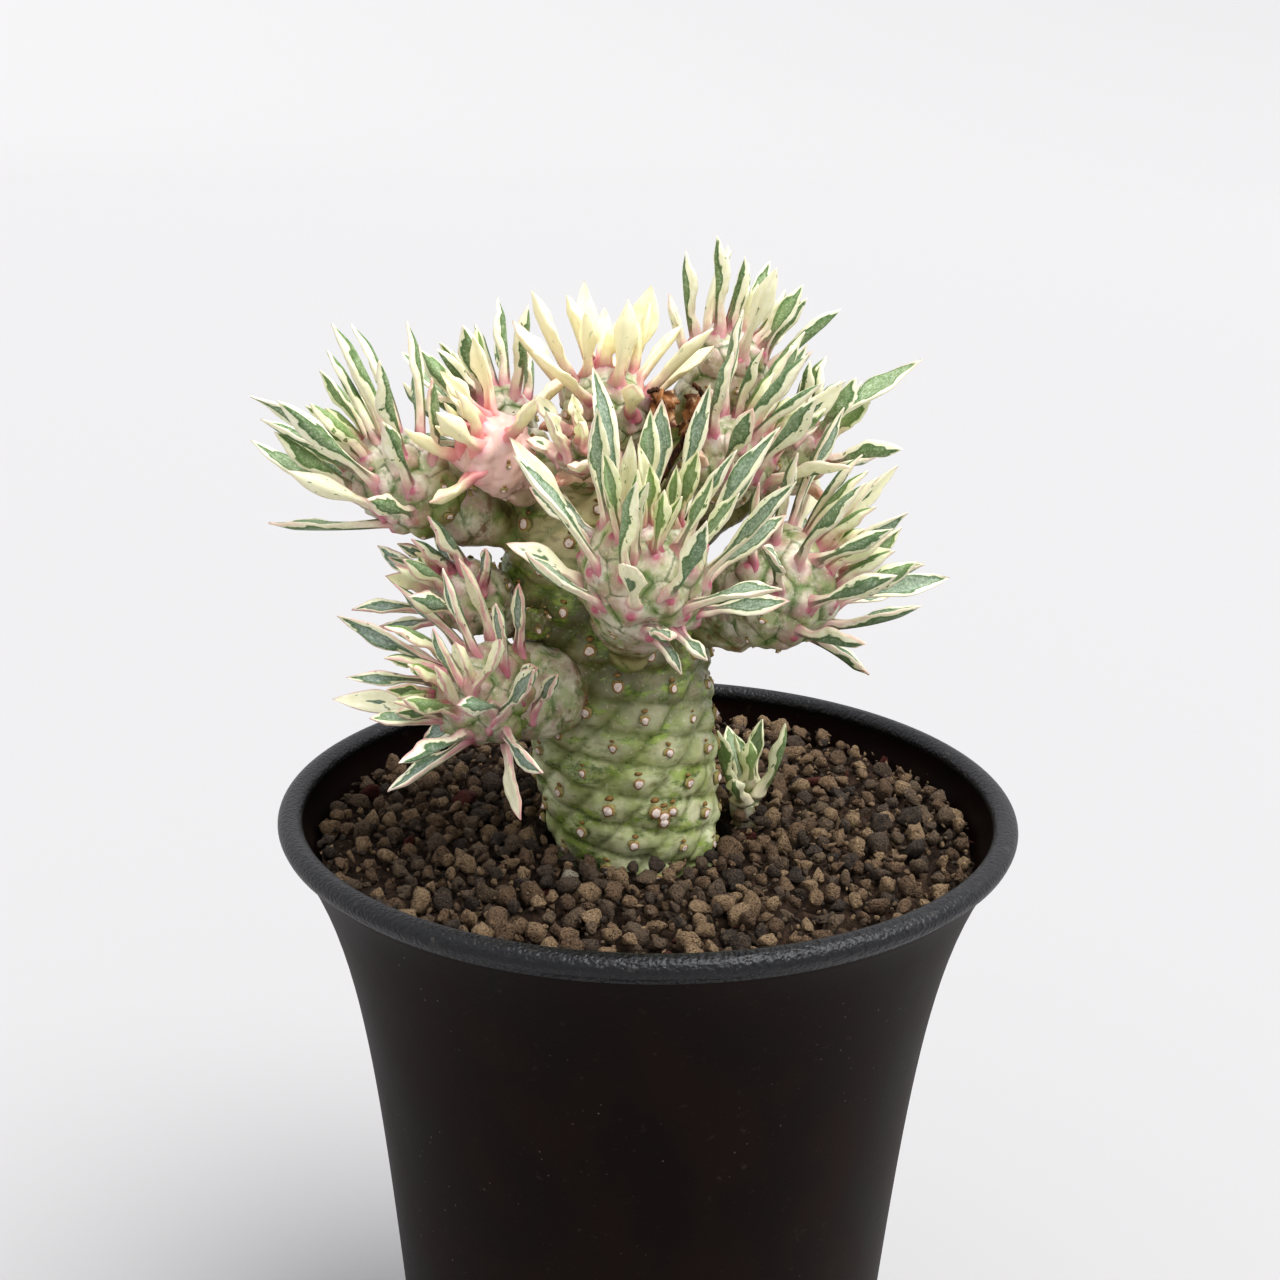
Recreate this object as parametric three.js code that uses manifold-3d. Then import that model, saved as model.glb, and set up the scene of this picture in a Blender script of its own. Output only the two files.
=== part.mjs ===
// A variegated sotetsukirin euphorbia in a flared pot, with every leaf rosette on its own offset.
// Millimetres, +Z up. The pot stands on z = 0 with its base centre at the origin; -Y faces the viewer.
import * as THREE from 'three';
import { ConvexGeometry } from 'three/addons/geometries/ConvexGeometry.js';
import { mergeVertices } from 'three/addons/utils/BufferGeometryUtils.js';
import Module from 'manifold-3d';

const wasm = await Module();
wasm.setup();

const potHeight = 118;
const rimRadius = 52.5;
const rimWide = 3.4;
const rimTall = 2.9;
const rimPlane = potHeight - rimTall / 2;
const wallFoot = 34;
const wallTaper = 0.075;
const wallFlare = 8.4;
const flareReach = 17;
const wallThick = 1.8;
const floorThick = 2.5;
const potSides = 36;
const insideLevels = [111, 98, 80, 52, floorThick];
const clearance = 0.3;
const soilBelowRim = 3.8;
const soilLevel = rimPlane - soilBelowRim;
const grainSpacing = 5.8;
const grainRise = 1.3;
const goldenTurn = 137.507764;
const bladeThick = 0.95;
const stemThick = 0.72;
const trunkCell = 36;
const wartShare = 2.9;

const up = new THREE.Vector3(0, 0, 1);
const vec = (x, y, z) => new THREE.Vector3(x, y, z);
const rad = THREE.MathUtils.degToRad;
const draw = (i, salt) => {
  const s = Math.sin(i * 12.9898 + salt * 78.233) * 43758.5453;
  return s - Math.floor(s);
};
const between = (i, salt, low, high) => low + (high - low) * draw(i, salt);

function solidOf(geometry) {
  const bare = geometry.clone();
  bare.deleteAttribute('normal');
  bare.deleteAttribute('uv');
  const merged = mergeVertices(bare, 1e-4);
  return new wasm.Manifold(new wasm.Mesh({
    numProp: 3,
    vertProperties: new Float32Array(merged.attributes.position.array),
    triVerts: new Uint32Array(merged.index.array),
  }));
}

function meshOf(vertices, triangles) {
  const geometry = new THREE.BufferGeometry();
  const numbers = vertices.flatMap((v) => v.toArray());
  geometry.setAttribute('position', new THREE.Float32BufferAttribute(numbers, 3));
  geometry.setIndex(triangles);
  return geometry;
}

function geometryOf(solid) {
  const mesh = solid.getMesh();
  const geometry = new THREE.BufferGeometry();
  geometry.setAttribute('position', new THREE.BufferAttribute(mesh.vertProperties, 3));
  geometry.setIndex(new THREE.BufferAttribute(mesh.triVerts, 1));
  geometry.computeVertexNormals();
  return geometry;
}

const part = new THREE.Group();

function add(name, solid, colour, roughness, metalness = 0) {
  const mesh = new THREE.Mesh(
    solid.isBufferGeometry ? solid : geometryOf(solid),
    new THREE.MeshStandardMaterial({ color: colour, roughness, metalness }),
  );
  mesh.name = name;
  part.add(mesh);
  return mesh;
}

// The pot: a thin plastic wall that flares like a trumpet under a rolled rim, closed flat below.
const wallAt = (z) => wallFoot + wallTaper * z + wallFlare * Math.exp((z - rimPlane + 1.5) / flareReach);

function potGeometry() {
  const rimCentre = rimRadius - rimWide / 2;
  const outside = [0, 1, 30, 60, 80, 92, 101, 108, 113].map(
    (z) => new THREE.Vector2(wallAt(z) - (z === 0 ? 1 : 0), z),
  );
  const roll = [-65, -20, 20, 60, 100, 140, 180, 215].map((a) => new THREE.Vector2(
    rimCentre + rimWide / 2 * Math.cos(rad(a)),
    rimPlane + rimTall / 2 * Math.sin(rad(a)),
  ));
  const inside = insideLevels.map((z) => new THREE.Vector2(wallAt(z) - wallThick, z));
  return new THREE.LatheGeometry(
    [new THREE.Vector2(0, 0), ...outside, ...roll, ...inside, new THREE.Vector2(0, floorThick)],
    potSides,
  ).rotateX(Math.PI / 2);
}

// The trunk: a stout barrel that leans a little to the left, its top under the crowd of heads.
const trunk = {
  foot: vec(0.2, 0.4, 97), top: vec(-9.4, 0, 167.5), radius: 13.6, power: 3.2, taper: 0.07,
};
trunk.axis = trunk.top.clone().sub(trunk.foot).normalize();
trunk.half = trunk.top.distanceTo(trunk.foot) / 2;
trunk.centre = trunk.foot.clone().lerp(trunk.top, 0.5);
trunk.start = trunk.foot;

// A rounded barrel seen from its side: 0 at the top of the axis, 1 at its foot.
function barrelProfile({ half, radius, power, taper = 0 }, turn) {
  const c = Math.cos(turn);
  const s = Math.sin(turn);
  const size = (Math.abs(c) ** power + Math.abs(s) ** power) ** (-1 / power);
  return [radius * s * size * (1 + taper * c * size), half * c * size];
}

function sideways(axis) {
  const side = axis.clone().cross(Math.abs(axis.z) < 0.9 ? up : vec(0, 1, 0)).normalize();
  return [side, axis.clone().cross(side)];
}

// Growth points in a golden-angle spiral, evenly spread over the skin from the tip down. Each also
// gets its place 'on' a unit sphere that keeps the angles of the skin, to find its neighbours there.
function growthPoints(body) {
  const { centre, axis, cell, spin, hand } = body;
  const steps = 240;
  const skin = [0];
  const polar = [0];
  const line = [];
  for (let k = 0; k <= steps; k += 1) line.push(barrelProfile(body, Math.PI * k / steps));
  for (let k = 1; k <= steps; k += 1) {
    const [r0, h0] = line[k - 1];
    const [r1, h1] = line[k];
    const step = Math.hypot(r1 - r0, h1 - h0);
    skin.push(skin[k - 1] + Math.PI * (r0 + r1) * step);
    polar.push(polar[k - 1] + (k === 1 || k === steps ? 0 : 2 * step / (r0 + r1)));
  }
  const count = Math.round(skin[steps] / cell);
  const [side, other] = sideways(axis);
  const points = [];
  let k = 1;
  for (let i = 0; i < count; i += 1) {
    const target = skin[steps] * (i + 0.5) / count;
    while (skin[k] < target) k += 1;
    const f = (target - skin[k - 1]) / (skin[k] - skin[k - 1]);
    const r = line[k - 1][0] + (line[k][0] - line[k - 1][0]) * f;
    const h = line[k - 1][1] + (line[k][1] - line[k - 1][1]) * f;
    const turn = rad(spin + hand * goldenTurn * i);
    const out = side.clone().multiplyScalar(Math.cos(turn)).addScaledVector(other, Math.sin(turn));
    const along = polar[k - 1] + (polar[k] - polar[k - 1]) * f - polar[steps] / 2;
    const tilt = 2 * Math.atan(Math.exp(along));
    points.push({
      at: centre.clone().addScaledVector(axis, h).addScaledVector(out, r),
      on: axis.clone().multiplyScalar(Math.cos(tilt)).addScaledVector(out, Math.sin(tilt)),
      out,
    });
  }
  return points;
}

// Skin of flat diamond warts: each growth point is a peak, and creases run between them.
function wartySkin(points, centre, crease, swell = 0) {
  const outward = (p) => p.at.clone().sub(centre).normalize();
  const vertices = points.map((p) => p.at.clone().addScaledVector(outward(p), swell));
  const label = (v) => v.toArray().map((x) => Math.fround(x).toFixed(6)).join(' ');
  const known = new Map(points.map((p, i) => [label(p.on), i]));
  const hull = new ConvexGeometry(points.map((p) => p.on)).attributes.position;
  const corners = [];
  for (let i = 0; i < hull.count; i += 1) {
    corners.push(known.get(label(new THREE.Vector3().fromBufferAttribute(hull, i))));
  }
  const owner = new Map();
  const triangles = [];
  for (let f = 0; f < corners.length; f += 3) {
    const corner = corners.slice(f, f + 3);
    const middle = vec(0, 0, 0);
    corner.forEach((c) => middle.addScaledVector(vertices[c], 1 / 3));
    const normal = vertices[corner[1]].clone().sub(vertices[corner[0]])
      .cross(vertices[corner[2]].clone().sub(vertices[corner[0]])).normalize();
    const pit = vertices.push(middle.addScaledVector(normal, -crease)) - 1;
    corner.forEach((c, j) => {
      const next = corner[(j + 1) % 3];
      const back = owner.get(`${next} ${c}`);
      if (back === undefined) owner.set(`${c} ${next}`, pit);
      else triangles.push(c, back, pit, next, pit, back);
    });
  }
  return meshOf(vertices, triangles);
}

// The heads, from the photo: each offset starts inside the trunk at 'stem' and ends at 'tip', both
// measured from the rim plane. 'body' is the length of its warty body, 'open' how far the oldest
// leaf leans off the axis, in degrees, and 'lift' how strongly the leaves turn to the light.
const heads = [
  {
    name: 'head_front', stem: [-4, -7, 22], tip: [0.4, -24.5, 45], body: 17.5, radius: 8.2, neck: 4,
    leaves: 26, blade: 20, wide: 3.9, spin: 300, open: 76, lift: 0.5, seed: 3, colour: 0x9fb08e,
  },
  {
    name: 'head_right', stem: [4, -2, 26], tip: [24.4, -8, 37.6], body: 17.5, radius: 8.2, neck: 3.8,
    leaves: 22, blade: 18, wide: 3.8, spin: 230, open: 80, lift: 0.45, seed: 8, colour: 0x9fb08e,
  },
  {
    name: 'head_left', stem: [-10, -2, 35.5], tip: [-39.5, -8, 51], body: 18.5, radius: 6.2, neck: 3,
    leaves: 21, blade: 19, wide: 3.7, spin: 280, open: 85, lift: 0.7, seed: 5, colour: 0xa7b596,
  },
  {
    name: 'head_pink', stem: [-16, -7, 46.5], tip: [-23.3, -12.5, 55.5], body: 10.5, radius: 5, neck: 2.3,
    leaves: 10, blade: 12, wide: 3.4, spin: 230, open: 97, lift: 0.15, seed: 0, colour: 0xf2c4b4,
  },
  {
    name: 'head_low_left', stem: [-4, -4, 18.5], tip: [-27.5, -19.5, 22], body: 18, radius: 6.8, neck: 4.2,
    leaves: 22, blade: 16, wide: 3.6, spin: 240, open: 85, lift: 0.45, seed: 3, colour: 0x9fb08e,
  },
  {
    name: 'head_low_behind', stem: [-10, -1, 24.5], tip: [-29, -9, 34.5], body: 12, radius: 5.1, neck: 2.6,
    leaves: 12, blade: 11.5, wide: 3.3, spin: 270, open: 70, lift: 0.3, seed: 8, colour: 0x9fb08e,
  },
  {
    name: 'head_top_front', stem: [-1, -2, 40], tip: [14.3, -6.5, 54.5], body: 12.5, radius: 5.8, neck: 3,
    leaves: 15, blade: 16, wide: 3.8, spin: 160, open: 78, lift: 0.75, seed: 3, colour: 0xa4b48f,
  },
  {
    name: 'head_cream', stem: [-8, -1, 42], tip: [-5.5, -3.5, 62.5], body: 12.5, radius: 6.4, neck: 3.4,
    leaves: 14, blade: 15, wide: 4.5, spin: 50, open: 92, lift: 0.5, seed: 3, colour: 0xf4ecc4,
  },
  {
    name: 'head_top', stem: [-2, 3, 42], tip: [12.8, 8, 66], body: 12.5, radius: 6, neck: 3,
    leaves: 17, blade: 15, wide: 3.6, spin: 190, open: 72, lift: 0.6, seed: 8, colour: 0xa4b48f,
  },
  {
    name: 'head_top_right', stem: [2, 1, 36], tip: [22.5, 3.5, 53.5], body: 11.5, radius: 5, neck: 2.8,
    leaves: 12, blade: 14, wide: 4, spin: 310, open: 72, lift: 0.55, seed: 5, colour: 0xa4b48f,
    longLeaves: [[36.5, 4, 63.3, 5, 16]],
  },
  {
    name: 'head_back_left', stem: [-12, 3, 40], tip: [-25, 8, 57], body: 11, radius: 5.6, neck: 3,
    leaves: 14, blade: 14, wide: 3.6, spin: 110, open: 72, lift: 0.6, seed: 0, colour: 0xa4b48f,
  },
  {
    name: 'rosette_small', stem: [-9, -5, 44], tip: [-9.5, -15, 55], body: 6.5, radius: 3, neck: 1.8,
    leaves: 8, blade: 8.5, wide: 3, spin: 130, open: 85, lift: 0.5, seed: 5, colour: 0xc9c49a,
  },
  {
    name: 'soil_plantlet', stem: [14.4, 5.6, -16], tip: [14.8, 6, 1], body: 7, radius: 2.3, neck: 1.5,
    leaves: 6, blade: 12, wide: 3.9, spin: 100, open: 60, lift: 0.2, seed: 6, colour: 0xa9b79a,
  },
];
heads.forEach((head, rank) => {
  head.key = 100 * rank + 1000 * (head.seed ?? 0);
  head.start = vec(...head.stem).setZ(head.stem[2] + rimPlane);
  head.end = vec(...head.tip).setZ(head.tip[2] + rimPlane);
  head.axis = head.end.clone().sub(head.start).normalize();
  head.half = head.body / 2;
  head.power = 2.2;
  head.centre = head.end.clone().addScaledVector(head.axis, -head.half);
  head.points = growthPoints({ ...head, cell: wartShare * head.radius, hand: 1 });
});
trunk.points = growthPoints({ ...trunk, cell: trunkCell, spin: 0, hand: -1 });

// A leaf: a narrow stalk that widens to a spoon blade, folded along its rib, bent, twisted and waved.
function leafOf(head, i, [turn, tip, scale]) {
  const key = head.key + i;
  const age = i / (head.leaves - 1);
  const { out } = head.points[i];
  const [side, other] = sideways(head.axis);
  const spin = Math.atan2(out.dot(other), out.dot(side)) + rad(between(key, 1, -7, 7) + turn);
  const away = side.multiplyScalar(Math.cos(spin)).addScaledVector(other, Math.sin(spin));
  const polar = rad(14 + (head.open - 14) * age ** 0.8 + between(key, 2, -8, 8) + tip);
  const along = head.axis.clone().multiplyScalar(Math.cos(polar)).addScaledVector(away, Math.sin(polar))
    .addScaledVector(up, head.lift).normalize();
  let face = head.axis.clone().addScaledVector(along, -head.axis.dot(along));
  if (face.length() < 0.15) face = away.clone().negate().addScaledVector(along, away.dot(along));
  face.normalize();
  const grown = Math.min(1, 0.42 + 0.75 * (i + 0.5) / (head.leaves * 0.4));
  return {
    root: head.points[i].at.clone().lerp(head.centre, 0.14),
    along,
    face,
    across: along.clone().cross(face),
    length: head.blade * grown * (1 - 0.35 * age ** 3) * between(key, 3, 0.86, 1.14) * scale,
    wide: head.wide * Math.min(1, 0.55 + 0.6 * grown) * between(key, 4, 0.85, 1.12) * (0.5 + 0.5 * scale),
    bend: rad(18 - 22 * age + between(key, 5, -26, 26)),
    twist: rad(between(key, 6, -32, 32)),
    fold: between(key, 7, 0.18, 0.5) * (1.25 - 0.5 * age),
    wave: between(key, 8, 0.12, 0.38),
    phase: between(key, 9, 0, 6.28),
  };
}

// A leaf that stands out in the photo, from the growth point nearest to its tip, measured like 'tip'.
function longLeafOf(head, [x, y, z, wide, bendDegrees]) {
  const end = vec(x, y, z + rimPlane);
  const first = head.leaves * 0.6;
  const near = head.points.filter((p, i) => i > first)
    .reduce((best, p) => (p.at.distanceTo(end) < best.at.distanceTo(end) ? p : best));
  const root = near.at.clone().lerp(head.centre, 0.14);
  const chord = end.clone().sub(root);
  const reach = chord.length();
  chord.normalize();
  const inward = head.axis.clone().addScaledVector(chord, -head.axis.dot(chord)).normalize();
  const half = rad(bendDegrees) / 2;
  const along = chord.clone().multiplyScalar(Math.cos(half)).addScaledVector(inward, -Math.sin(half));
  const face = inward.multiplyScalar(Math.cos(half)).addScaledVector(chord, Math.sin(half));
  return {
    root,
    along,
    face,
    across: along.clone().cross(face),
    length: reach * half / Math.sin(half),
    wide,
    bend: 2 * half,
    twist: 0.3,
    fold: 0.3,
    wave: 0.2,
    phase: 1,
  };
}

const halfWidth = (leaf, s) => Math.max(
  leaf.wide / 2 * Math.sin(Math.PI * s ** 1.6) ** 0.8,
  stemThick / 2 * Math.min(1, 6 * (1 - s)),
);

// A point of the leaf at s along it and c across it, -1 and 1 at its edges, lifted off its rib surface.
function leafPoint(leaf, s, c, lift = 0) {
  const b = Math.abs(leaf.bend) > 1e-3 ? leaf.bend : 1e-3;
  const turn = leaf.twist * s;
  const rib = leaf.root.clone()
    .addScaledVector(leaf.along, leaf.length * Math.sin(b * s) / b)
    .addScaledVector(leaf.face, leaf.length * (1 - Math.cos(b * s)) / b);
  const flat = leaf.face.clone().multiplyScalar(Math.cos(b * s))
    .addScaledVector(leaf.along, -Math.sin(b * s));
  const wide = leaf.across.clone().multiplyScalar(Math.cos(turn)).addScaledVector(flat, Math.sin(turn));
  flat.multiplyScalar(Math.cos(turn)).addScaledVector(leaf.across, -Math.sin(turn));
  const reach = halfWidth(leaf, s) * Math.abs(c);
  const wave = leaf.wave * Math.sin(15 * s + leaf.phase + c) * Math.min(1, reach) * Math.abs(c);
  return rib.addScaledVector(wide, Math.sign(c) * reach * Math.cos(leaf.fold))
    .addScaledVector(flat, reach * Math.sin(leaf.fold) + wave + lift);
}

function leafGeometry(leaf) {
  const stations = leaf.length > 10 ? [0, 0.26, 0.46, 0.66, 0.85] : [0, 0.3, 0.6, 0.84];
  const vertices = [];
  stations.forEach((s) => {
    const thick = stemThick + (bladeThick - stemThick) * Math.min(1, 2 * s) * (s > 0.8 ? 0.6 : 1);
    vertices.push(leafPoint(leaf, s, -1), leafPoint(leaf, s, 0, thick / 2));
    vertices.push(leafPoint(leaf, s, 1), leafPoint(leaf, s, 0, -thick / 2));
  });
  vertices.push(leafPoint(leaf, 1, 0));
  const last = vertices.length - 1;
  const triangles = [0, 3, 2, 0, 2, 1];
  for (let k = 0; k < stations.length; k += 1) {
    for (let j = 0; j < 4; j += 1) {
      const a = 4 * k + j;
      const b = 4 * k + (j + 1) % 4;
      if (k === stations.length - 1) triangles.push(a, b, last);
      else if (j % 2 === 0) triangles.push(a, b, b + 4, a, b + 4, a + 4);
      else triangles.push(a, b, a + 4, b, b + 4, a + 4);
    }
  }
  return meshOf(vertices, triangles);
}

// Each leaf takes the first of these turns, tilts and lengths that keeps it clear of all the rest.
const tries = [
  [0, 0, 1], [12, 0, 1], [-12, 0, 1], [0, -12, 1], [0, 12, 1], [20, -10, 0.95], [-20, -10, 0.95],
  [28, 8, 0.9], [-28, 8, 0.9], [0, -22, 0.85], [0, 20, 0.85], [36, -16, 0.8], [-36, -16, 0.8],
];

function leafBeads(leaf) {
  const beads = [];
  for (let k = 1; k <= 10; k += 1) {
    const s = k / 10;
    for (let c = -1; c <= 1; c += 1) {
      const at = leafPoint(leaf, s, 0.66 * c);
      beads.push({ x: at.x, y: at.y, z: at.z, s, r: 0.45 + 0.25 * halfWidth(leaf, s) });
    }
  }
  return beads;
}

// How far a point lies outside a rounded barrel, measured toward its centre.
function outsideBarrel({ centre, axis, half, radius, power, taper = 0 }, at) {
  const away = at.clone().sub(centre);
  const height = away.dot(axis);
  const reach = Math.sqrt(Math.max(0, away.lengthSq() - height * height));
  const high = Math.abs(height) / half;
  const wide = reach / radius / (1 + taper * height / half);
  const size = (high ** power + wide ** power) ** (1 / power);
  return away.length() * (1 - 1 / Math.max(size, 1e-6));
}

function outsideNeck({ start, centre, neck }, at) {
  const near = new THREE.Line3(start, centre).closestPointToPoint(at, true, vec(0, 0, 0));
  return near.distanceTo(at) - 1.1 * neck;
}

function clearOfRest(beads, head, placed) {
  const at = vec(0, 0, 0);
  for (const bead of beads) {
    at.set(bead.x, bead.y, bead.z);
    const fromAxis = Math.hypot(at.x, at.y);
    const rootedInSoil = head.name === 'soil_plantlet' && bead.s < 0.35;
    const floor = fromAxis > 45.5 ? rimPlane + 2.4 : soilLevel + 2;
    if (!rootedInSoil && at.z < floor + bead.r) return false;
    if (outsideBarrel(trunk, at) < bead.r + 0.5) return false;
    for (const other of heads) {
      const gap = other === head ? -0.4 : 0.5;
      if (other === head && bead.s < 0.35) continue;
      if (outsideBarrel(other, at) < bead.r + gap || outsideNeck(other, at) < bead.r + gap) return false;
    }
    for (const set of placed) {
      const own = set.head === head;
      if (own && bead.s < 0.3) continue;
      for (const rest of set.beads) {
        if (own && rest.s < 0.3) continue;
        const reach = (bead.r + rest.r) * (own ? 0.7 : 1) + (own ? 0 : 0.15);
        const dx = bead.x - rest.x;
        const dy = bead.y - rest.y;
        const dz = bead.z - rest.z;
        if (dx * dx + dy * dy + dz * dz < reach * reach) return false;
      }
    }
  }
  return true;
}

// Two dried flower stalks that curl over at the top, from one withered base on the trunk.
const stalkBase = vec(-0.8, -8, 46).setZ(rimPlane + 46);
const stalks = [
  [[-0.8, -8, 46], [0.4, -7.5, 52], [1.2, -7, 57], [0.4, -7.4, 60.2], [-0.9, -8, 60]],
  [[-0.8, -8, 46], [2.5, -6.8, 51], [5.2, -5.6, 56], [6.2, -5.8, 59.6], [5, -6.4, 61]],
].map((line) => new THREE.CatmullRomCurve3(line.map(([x, y, z]) => vec(x, y, z + rimPlane))));
const stalkRadius = 0.5;

const stalkPoints = stalks.flatMap((curve) => curve.getPoints(16));
const placed = [{
  head: null,
  beads: stalkPoints.map((p) => ({ x: p.x, y: p.y, z: p.z, s: 1, r: 0.9 })),
}];
for (const head of heads) {
  head.blades = (head.longLeaves ?? []).map((leaf) => longLeafOf(head, leaf));
  head.blades.forEach((leaf) => placed.push({ head, beads: leafBeads(leaf) }));
}
for (const head of heads) {
  for (let i = 0; i < head.leaves; i += 1) {
    for (const change of tries) {
      const leaf = leafOf(head, i, change);
      const beads = leafBeads(leaf);
      if (clearOfRest(beads, head, placed)) {
        placed.push({ head, beads });
        head.blades.push(leaf);
        break;
      }
    }
  }
}

const trunkCut = solidOf(wartySkin(trunk.points, trunk.centre, 0.55, clearance));

function headSolid(head) {
  const neckLong = head.start.distanceTo(head.centre);
  const neck = new THREE.CylinderGeometry(head.neck * 1.1, head.neck, neckLong, 8)
    .applyQuaternion(new THREE.Quaternion().setFromUnitVectors(vec(0, 1, 0), head.axis))
    .translate(...head.start.clone().lerp(head.centre, 0.5).toArray());
  let solid = solidOf(wartySkin(head.points, head.centre, 0.5)).add(solidOf(neck));
  head.blades.forEach((leaf) => {
    solid = solid.add(solidOf(leafGeometry(leaf)));
  });
  return solid.subtract(trunkCut).asOriginal().simplify(0.04);
}

function stalkSolid() {
  const section = new THREE.Shape(Array.from({ length: 5 }, (_, k) => new THREE.Vector2(
    stalkRadius * Math.cos(rad(72 * k)),
    stalkRadius * Math.sin(rad(72 * k)),
  )));
  const base = new THREE.IcosahedronGeometry(1.5, 0).translate(...stalkBase.toArray());
  let solid = solidOf(base);
  stalks.forEach((extrudePath) => {
    solid = solid.add(solidOf(new THREE.ExtrudeGeometry(section, { steps: 7, extrudePath })));
  });
  return solid.subtract(trunkCut);
}

// The plain hole a stem stands in: round, clear of every wart that reaches below the soil's top.
function holeFor(stem) {
  const below = stem.points.filter((p) => p.at.z < soilLevel + 3).map((p) => p.at);
  const x = below.reduce((sum, p) => sum + p.x, 0) / below.length;
  const y = below.reduce((sum, p) => sum + p.y, 0) / below.length;
  const r = Math.max(...below.map((p) => Math.hypot(p.x - x, p.y - y))) + clearance;
  return { x, y, r, bottom: Math.min(...below.map((p) => p.z), stem.start.z) - clearance };
}

// The soil: a filled bed of grains, raised cell by cell, with plain holes for trunk and plantlet.
function soilSolid() {
  const across = Math.ceil(52 / grainSpacing);
  const row = grainSpacing * Math.sqrt(3) / 2;
  const vertices = [];
  const grid = new Map();
  const level = (x, y) => soilLevel + 0.02 * y;
  for (let j = -across - 1; j <= across + 1; j += 1) {
    for (let i = -across - 1; i <= across + 1; i += 1) {
      const key = 400 + 61 * (i + 30) + j;
      const x = (i + (j & 1) / 2) * grainSpacing + between(key, 1, -0.8, 0.8);
      const y = j * row + between(key, 2, -0.8, 0.8);
      grid.set(`${i} ${j}`, vertices.length);
      vertices.push(vec(x, y, level(x, y) + grainRise * between(key, 3, 0.35, 1)));
    }
  }
  const corners = [];
  const hollow = (a, b, c) => {
    const middle = vertices[a].clone().add(vertices[b]).add(vertices[c]).divideScalar(3);
    vertices.push(middle.setZ(level(middle.x, middle.y) - 0.9));
    corners.push([a, b, c, vertices.length - 1]);
  };
  for (let j = -across - 1; j <= across; j += 1) {
    for (let i = -across - 1; i <= across; i += 1) {
      const at = (di, dj) => grid.get(`${i + di} ${j + dj}`);
      if (j & 1) {
        hollow(at(0, 0), at(1, 0), at(1, 1));
        hollow(at(0, 0), at(1, 1), at(0, 1));
      } else {
        hollow(at(0, 0), at(1, 0), at(0, 1));
        hollow(at(1, 0), at(1, 1), at(0, 1));
      }
    }
  }
  const triangles = [];
  const open = new Map();
  for (const [a, b, c, pit] of corners) {
    [[a, b], [b, c], [c, a]].forEach(([p, q]) => {
      const back = open.get(`${q} ${p}`);
      if (back === undefined) {
        open.set(`${p} ${q}`, pit);
      } else {
        triangles.push(p, back, pit, q, pit, back);
        open.delete(`${q} ${p}`);
      }
    });
  }
  const rim = new Map();
  for (const [edge, pit] of open) {
    const [p, q] = edge.split(' ').map(Number);
    triangles.push(p, q, pit);
    rim.set(p, q);
  }
  const order = [rim.keys().next().value];
  while (rim.get(order[order.length - 1]) !== order[0]) order.push(rim.get(order[order.length - 1]));
  const base = vertices.length;
  order.forEach((p) => vertices.push(vertices[p].clone().setZ(1)));
  vertices.push(vec(0, 0, 1));
  const middle = vertices.length - 1;
  order.forEach((p, n) => {
    const q = order[(n + 1) % order.length];
    const low = base + n;
    const next = base + (n + 1) % order.length;
    triangles.push(q, p, low, q, low, next, middle, next, low);
  });
  const bore = (x, y, r, bottom, sides) => solidOf(new THREE.CylinderGeometry(r, r, 60, sides)
    .rotateX(Math.PI / 2).translate(x, y, bottom + 30));
  const side = insideLevels.toReversed().map(
    (z) => new THREE.Vector2(wallAt(z) - wallThick - 1.15 * clearance, z === floorThick ? z + clearance : z),
  );
  const room = new THREE.LatheGeometry([
    new THREE.Vector2(0, floorThick + clearance),
    ...side,
    new THREE.Vector2(side[4].x, potHeight),
    new THREE.Vector2(0, potHeight),
  ], potSides).rotateX(Math.PI / 2);
  const plantlet = heads.find((head) => head.name === 'soil_plantlet');
  trunk.hole = holeFor(trunk);
  plantlet.hole = holeFor(plantlet);
  return solidOf(meshOf(vertices, triangles)).intersect(solidOf(room))
    .subtract(bore(trunk.hole.x, trunk.hole.y, trunk.hole.r, trunk.hole.bottom, 30))
    .subtract(bore(plantlet.hole.x, plantlet.hole.y, plantlet.hole.r, plantlet.hole.bottom, 14));
}
add('pot', potGeometry(), 0x1b1613, 0.45);
add('soil', soilSolid(), 0x5d4837, 1);
add('trunk', wartySkin(trunk.points, trunk.centre, 0.55), 0x93a373, 0.6);
heads.forEach((head) => add(head.name, headSolid(head), head.colour, 0.55));
add('dried_flower_stalks', stalkSolid(), 0x5a3b22, 0.9);

export default part;
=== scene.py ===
import math

import bmesh
import bpy
import numpy as np
from mathutils import Matrix, Vector


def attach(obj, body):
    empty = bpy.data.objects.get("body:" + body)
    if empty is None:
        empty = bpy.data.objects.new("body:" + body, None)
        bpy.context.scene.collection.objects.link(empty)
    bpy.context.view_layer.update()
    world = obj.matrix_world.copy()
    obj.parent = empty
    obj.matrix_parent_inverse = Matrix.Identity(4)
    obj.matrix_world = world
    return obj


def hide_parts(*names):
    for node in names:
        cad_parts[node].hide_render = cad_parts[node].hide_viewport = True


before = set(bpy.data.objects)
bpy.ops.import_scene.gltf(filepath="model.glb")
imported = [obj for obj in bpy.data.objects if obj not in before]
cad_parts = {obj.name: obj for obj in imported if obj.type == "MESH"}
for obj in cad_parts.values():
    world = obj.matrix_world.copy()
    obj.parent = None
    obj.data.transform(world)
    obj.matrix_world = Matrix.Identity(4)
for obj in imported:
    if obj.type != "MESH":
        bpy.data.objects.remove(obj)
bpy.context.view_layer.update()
mm = 0.001

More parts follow.
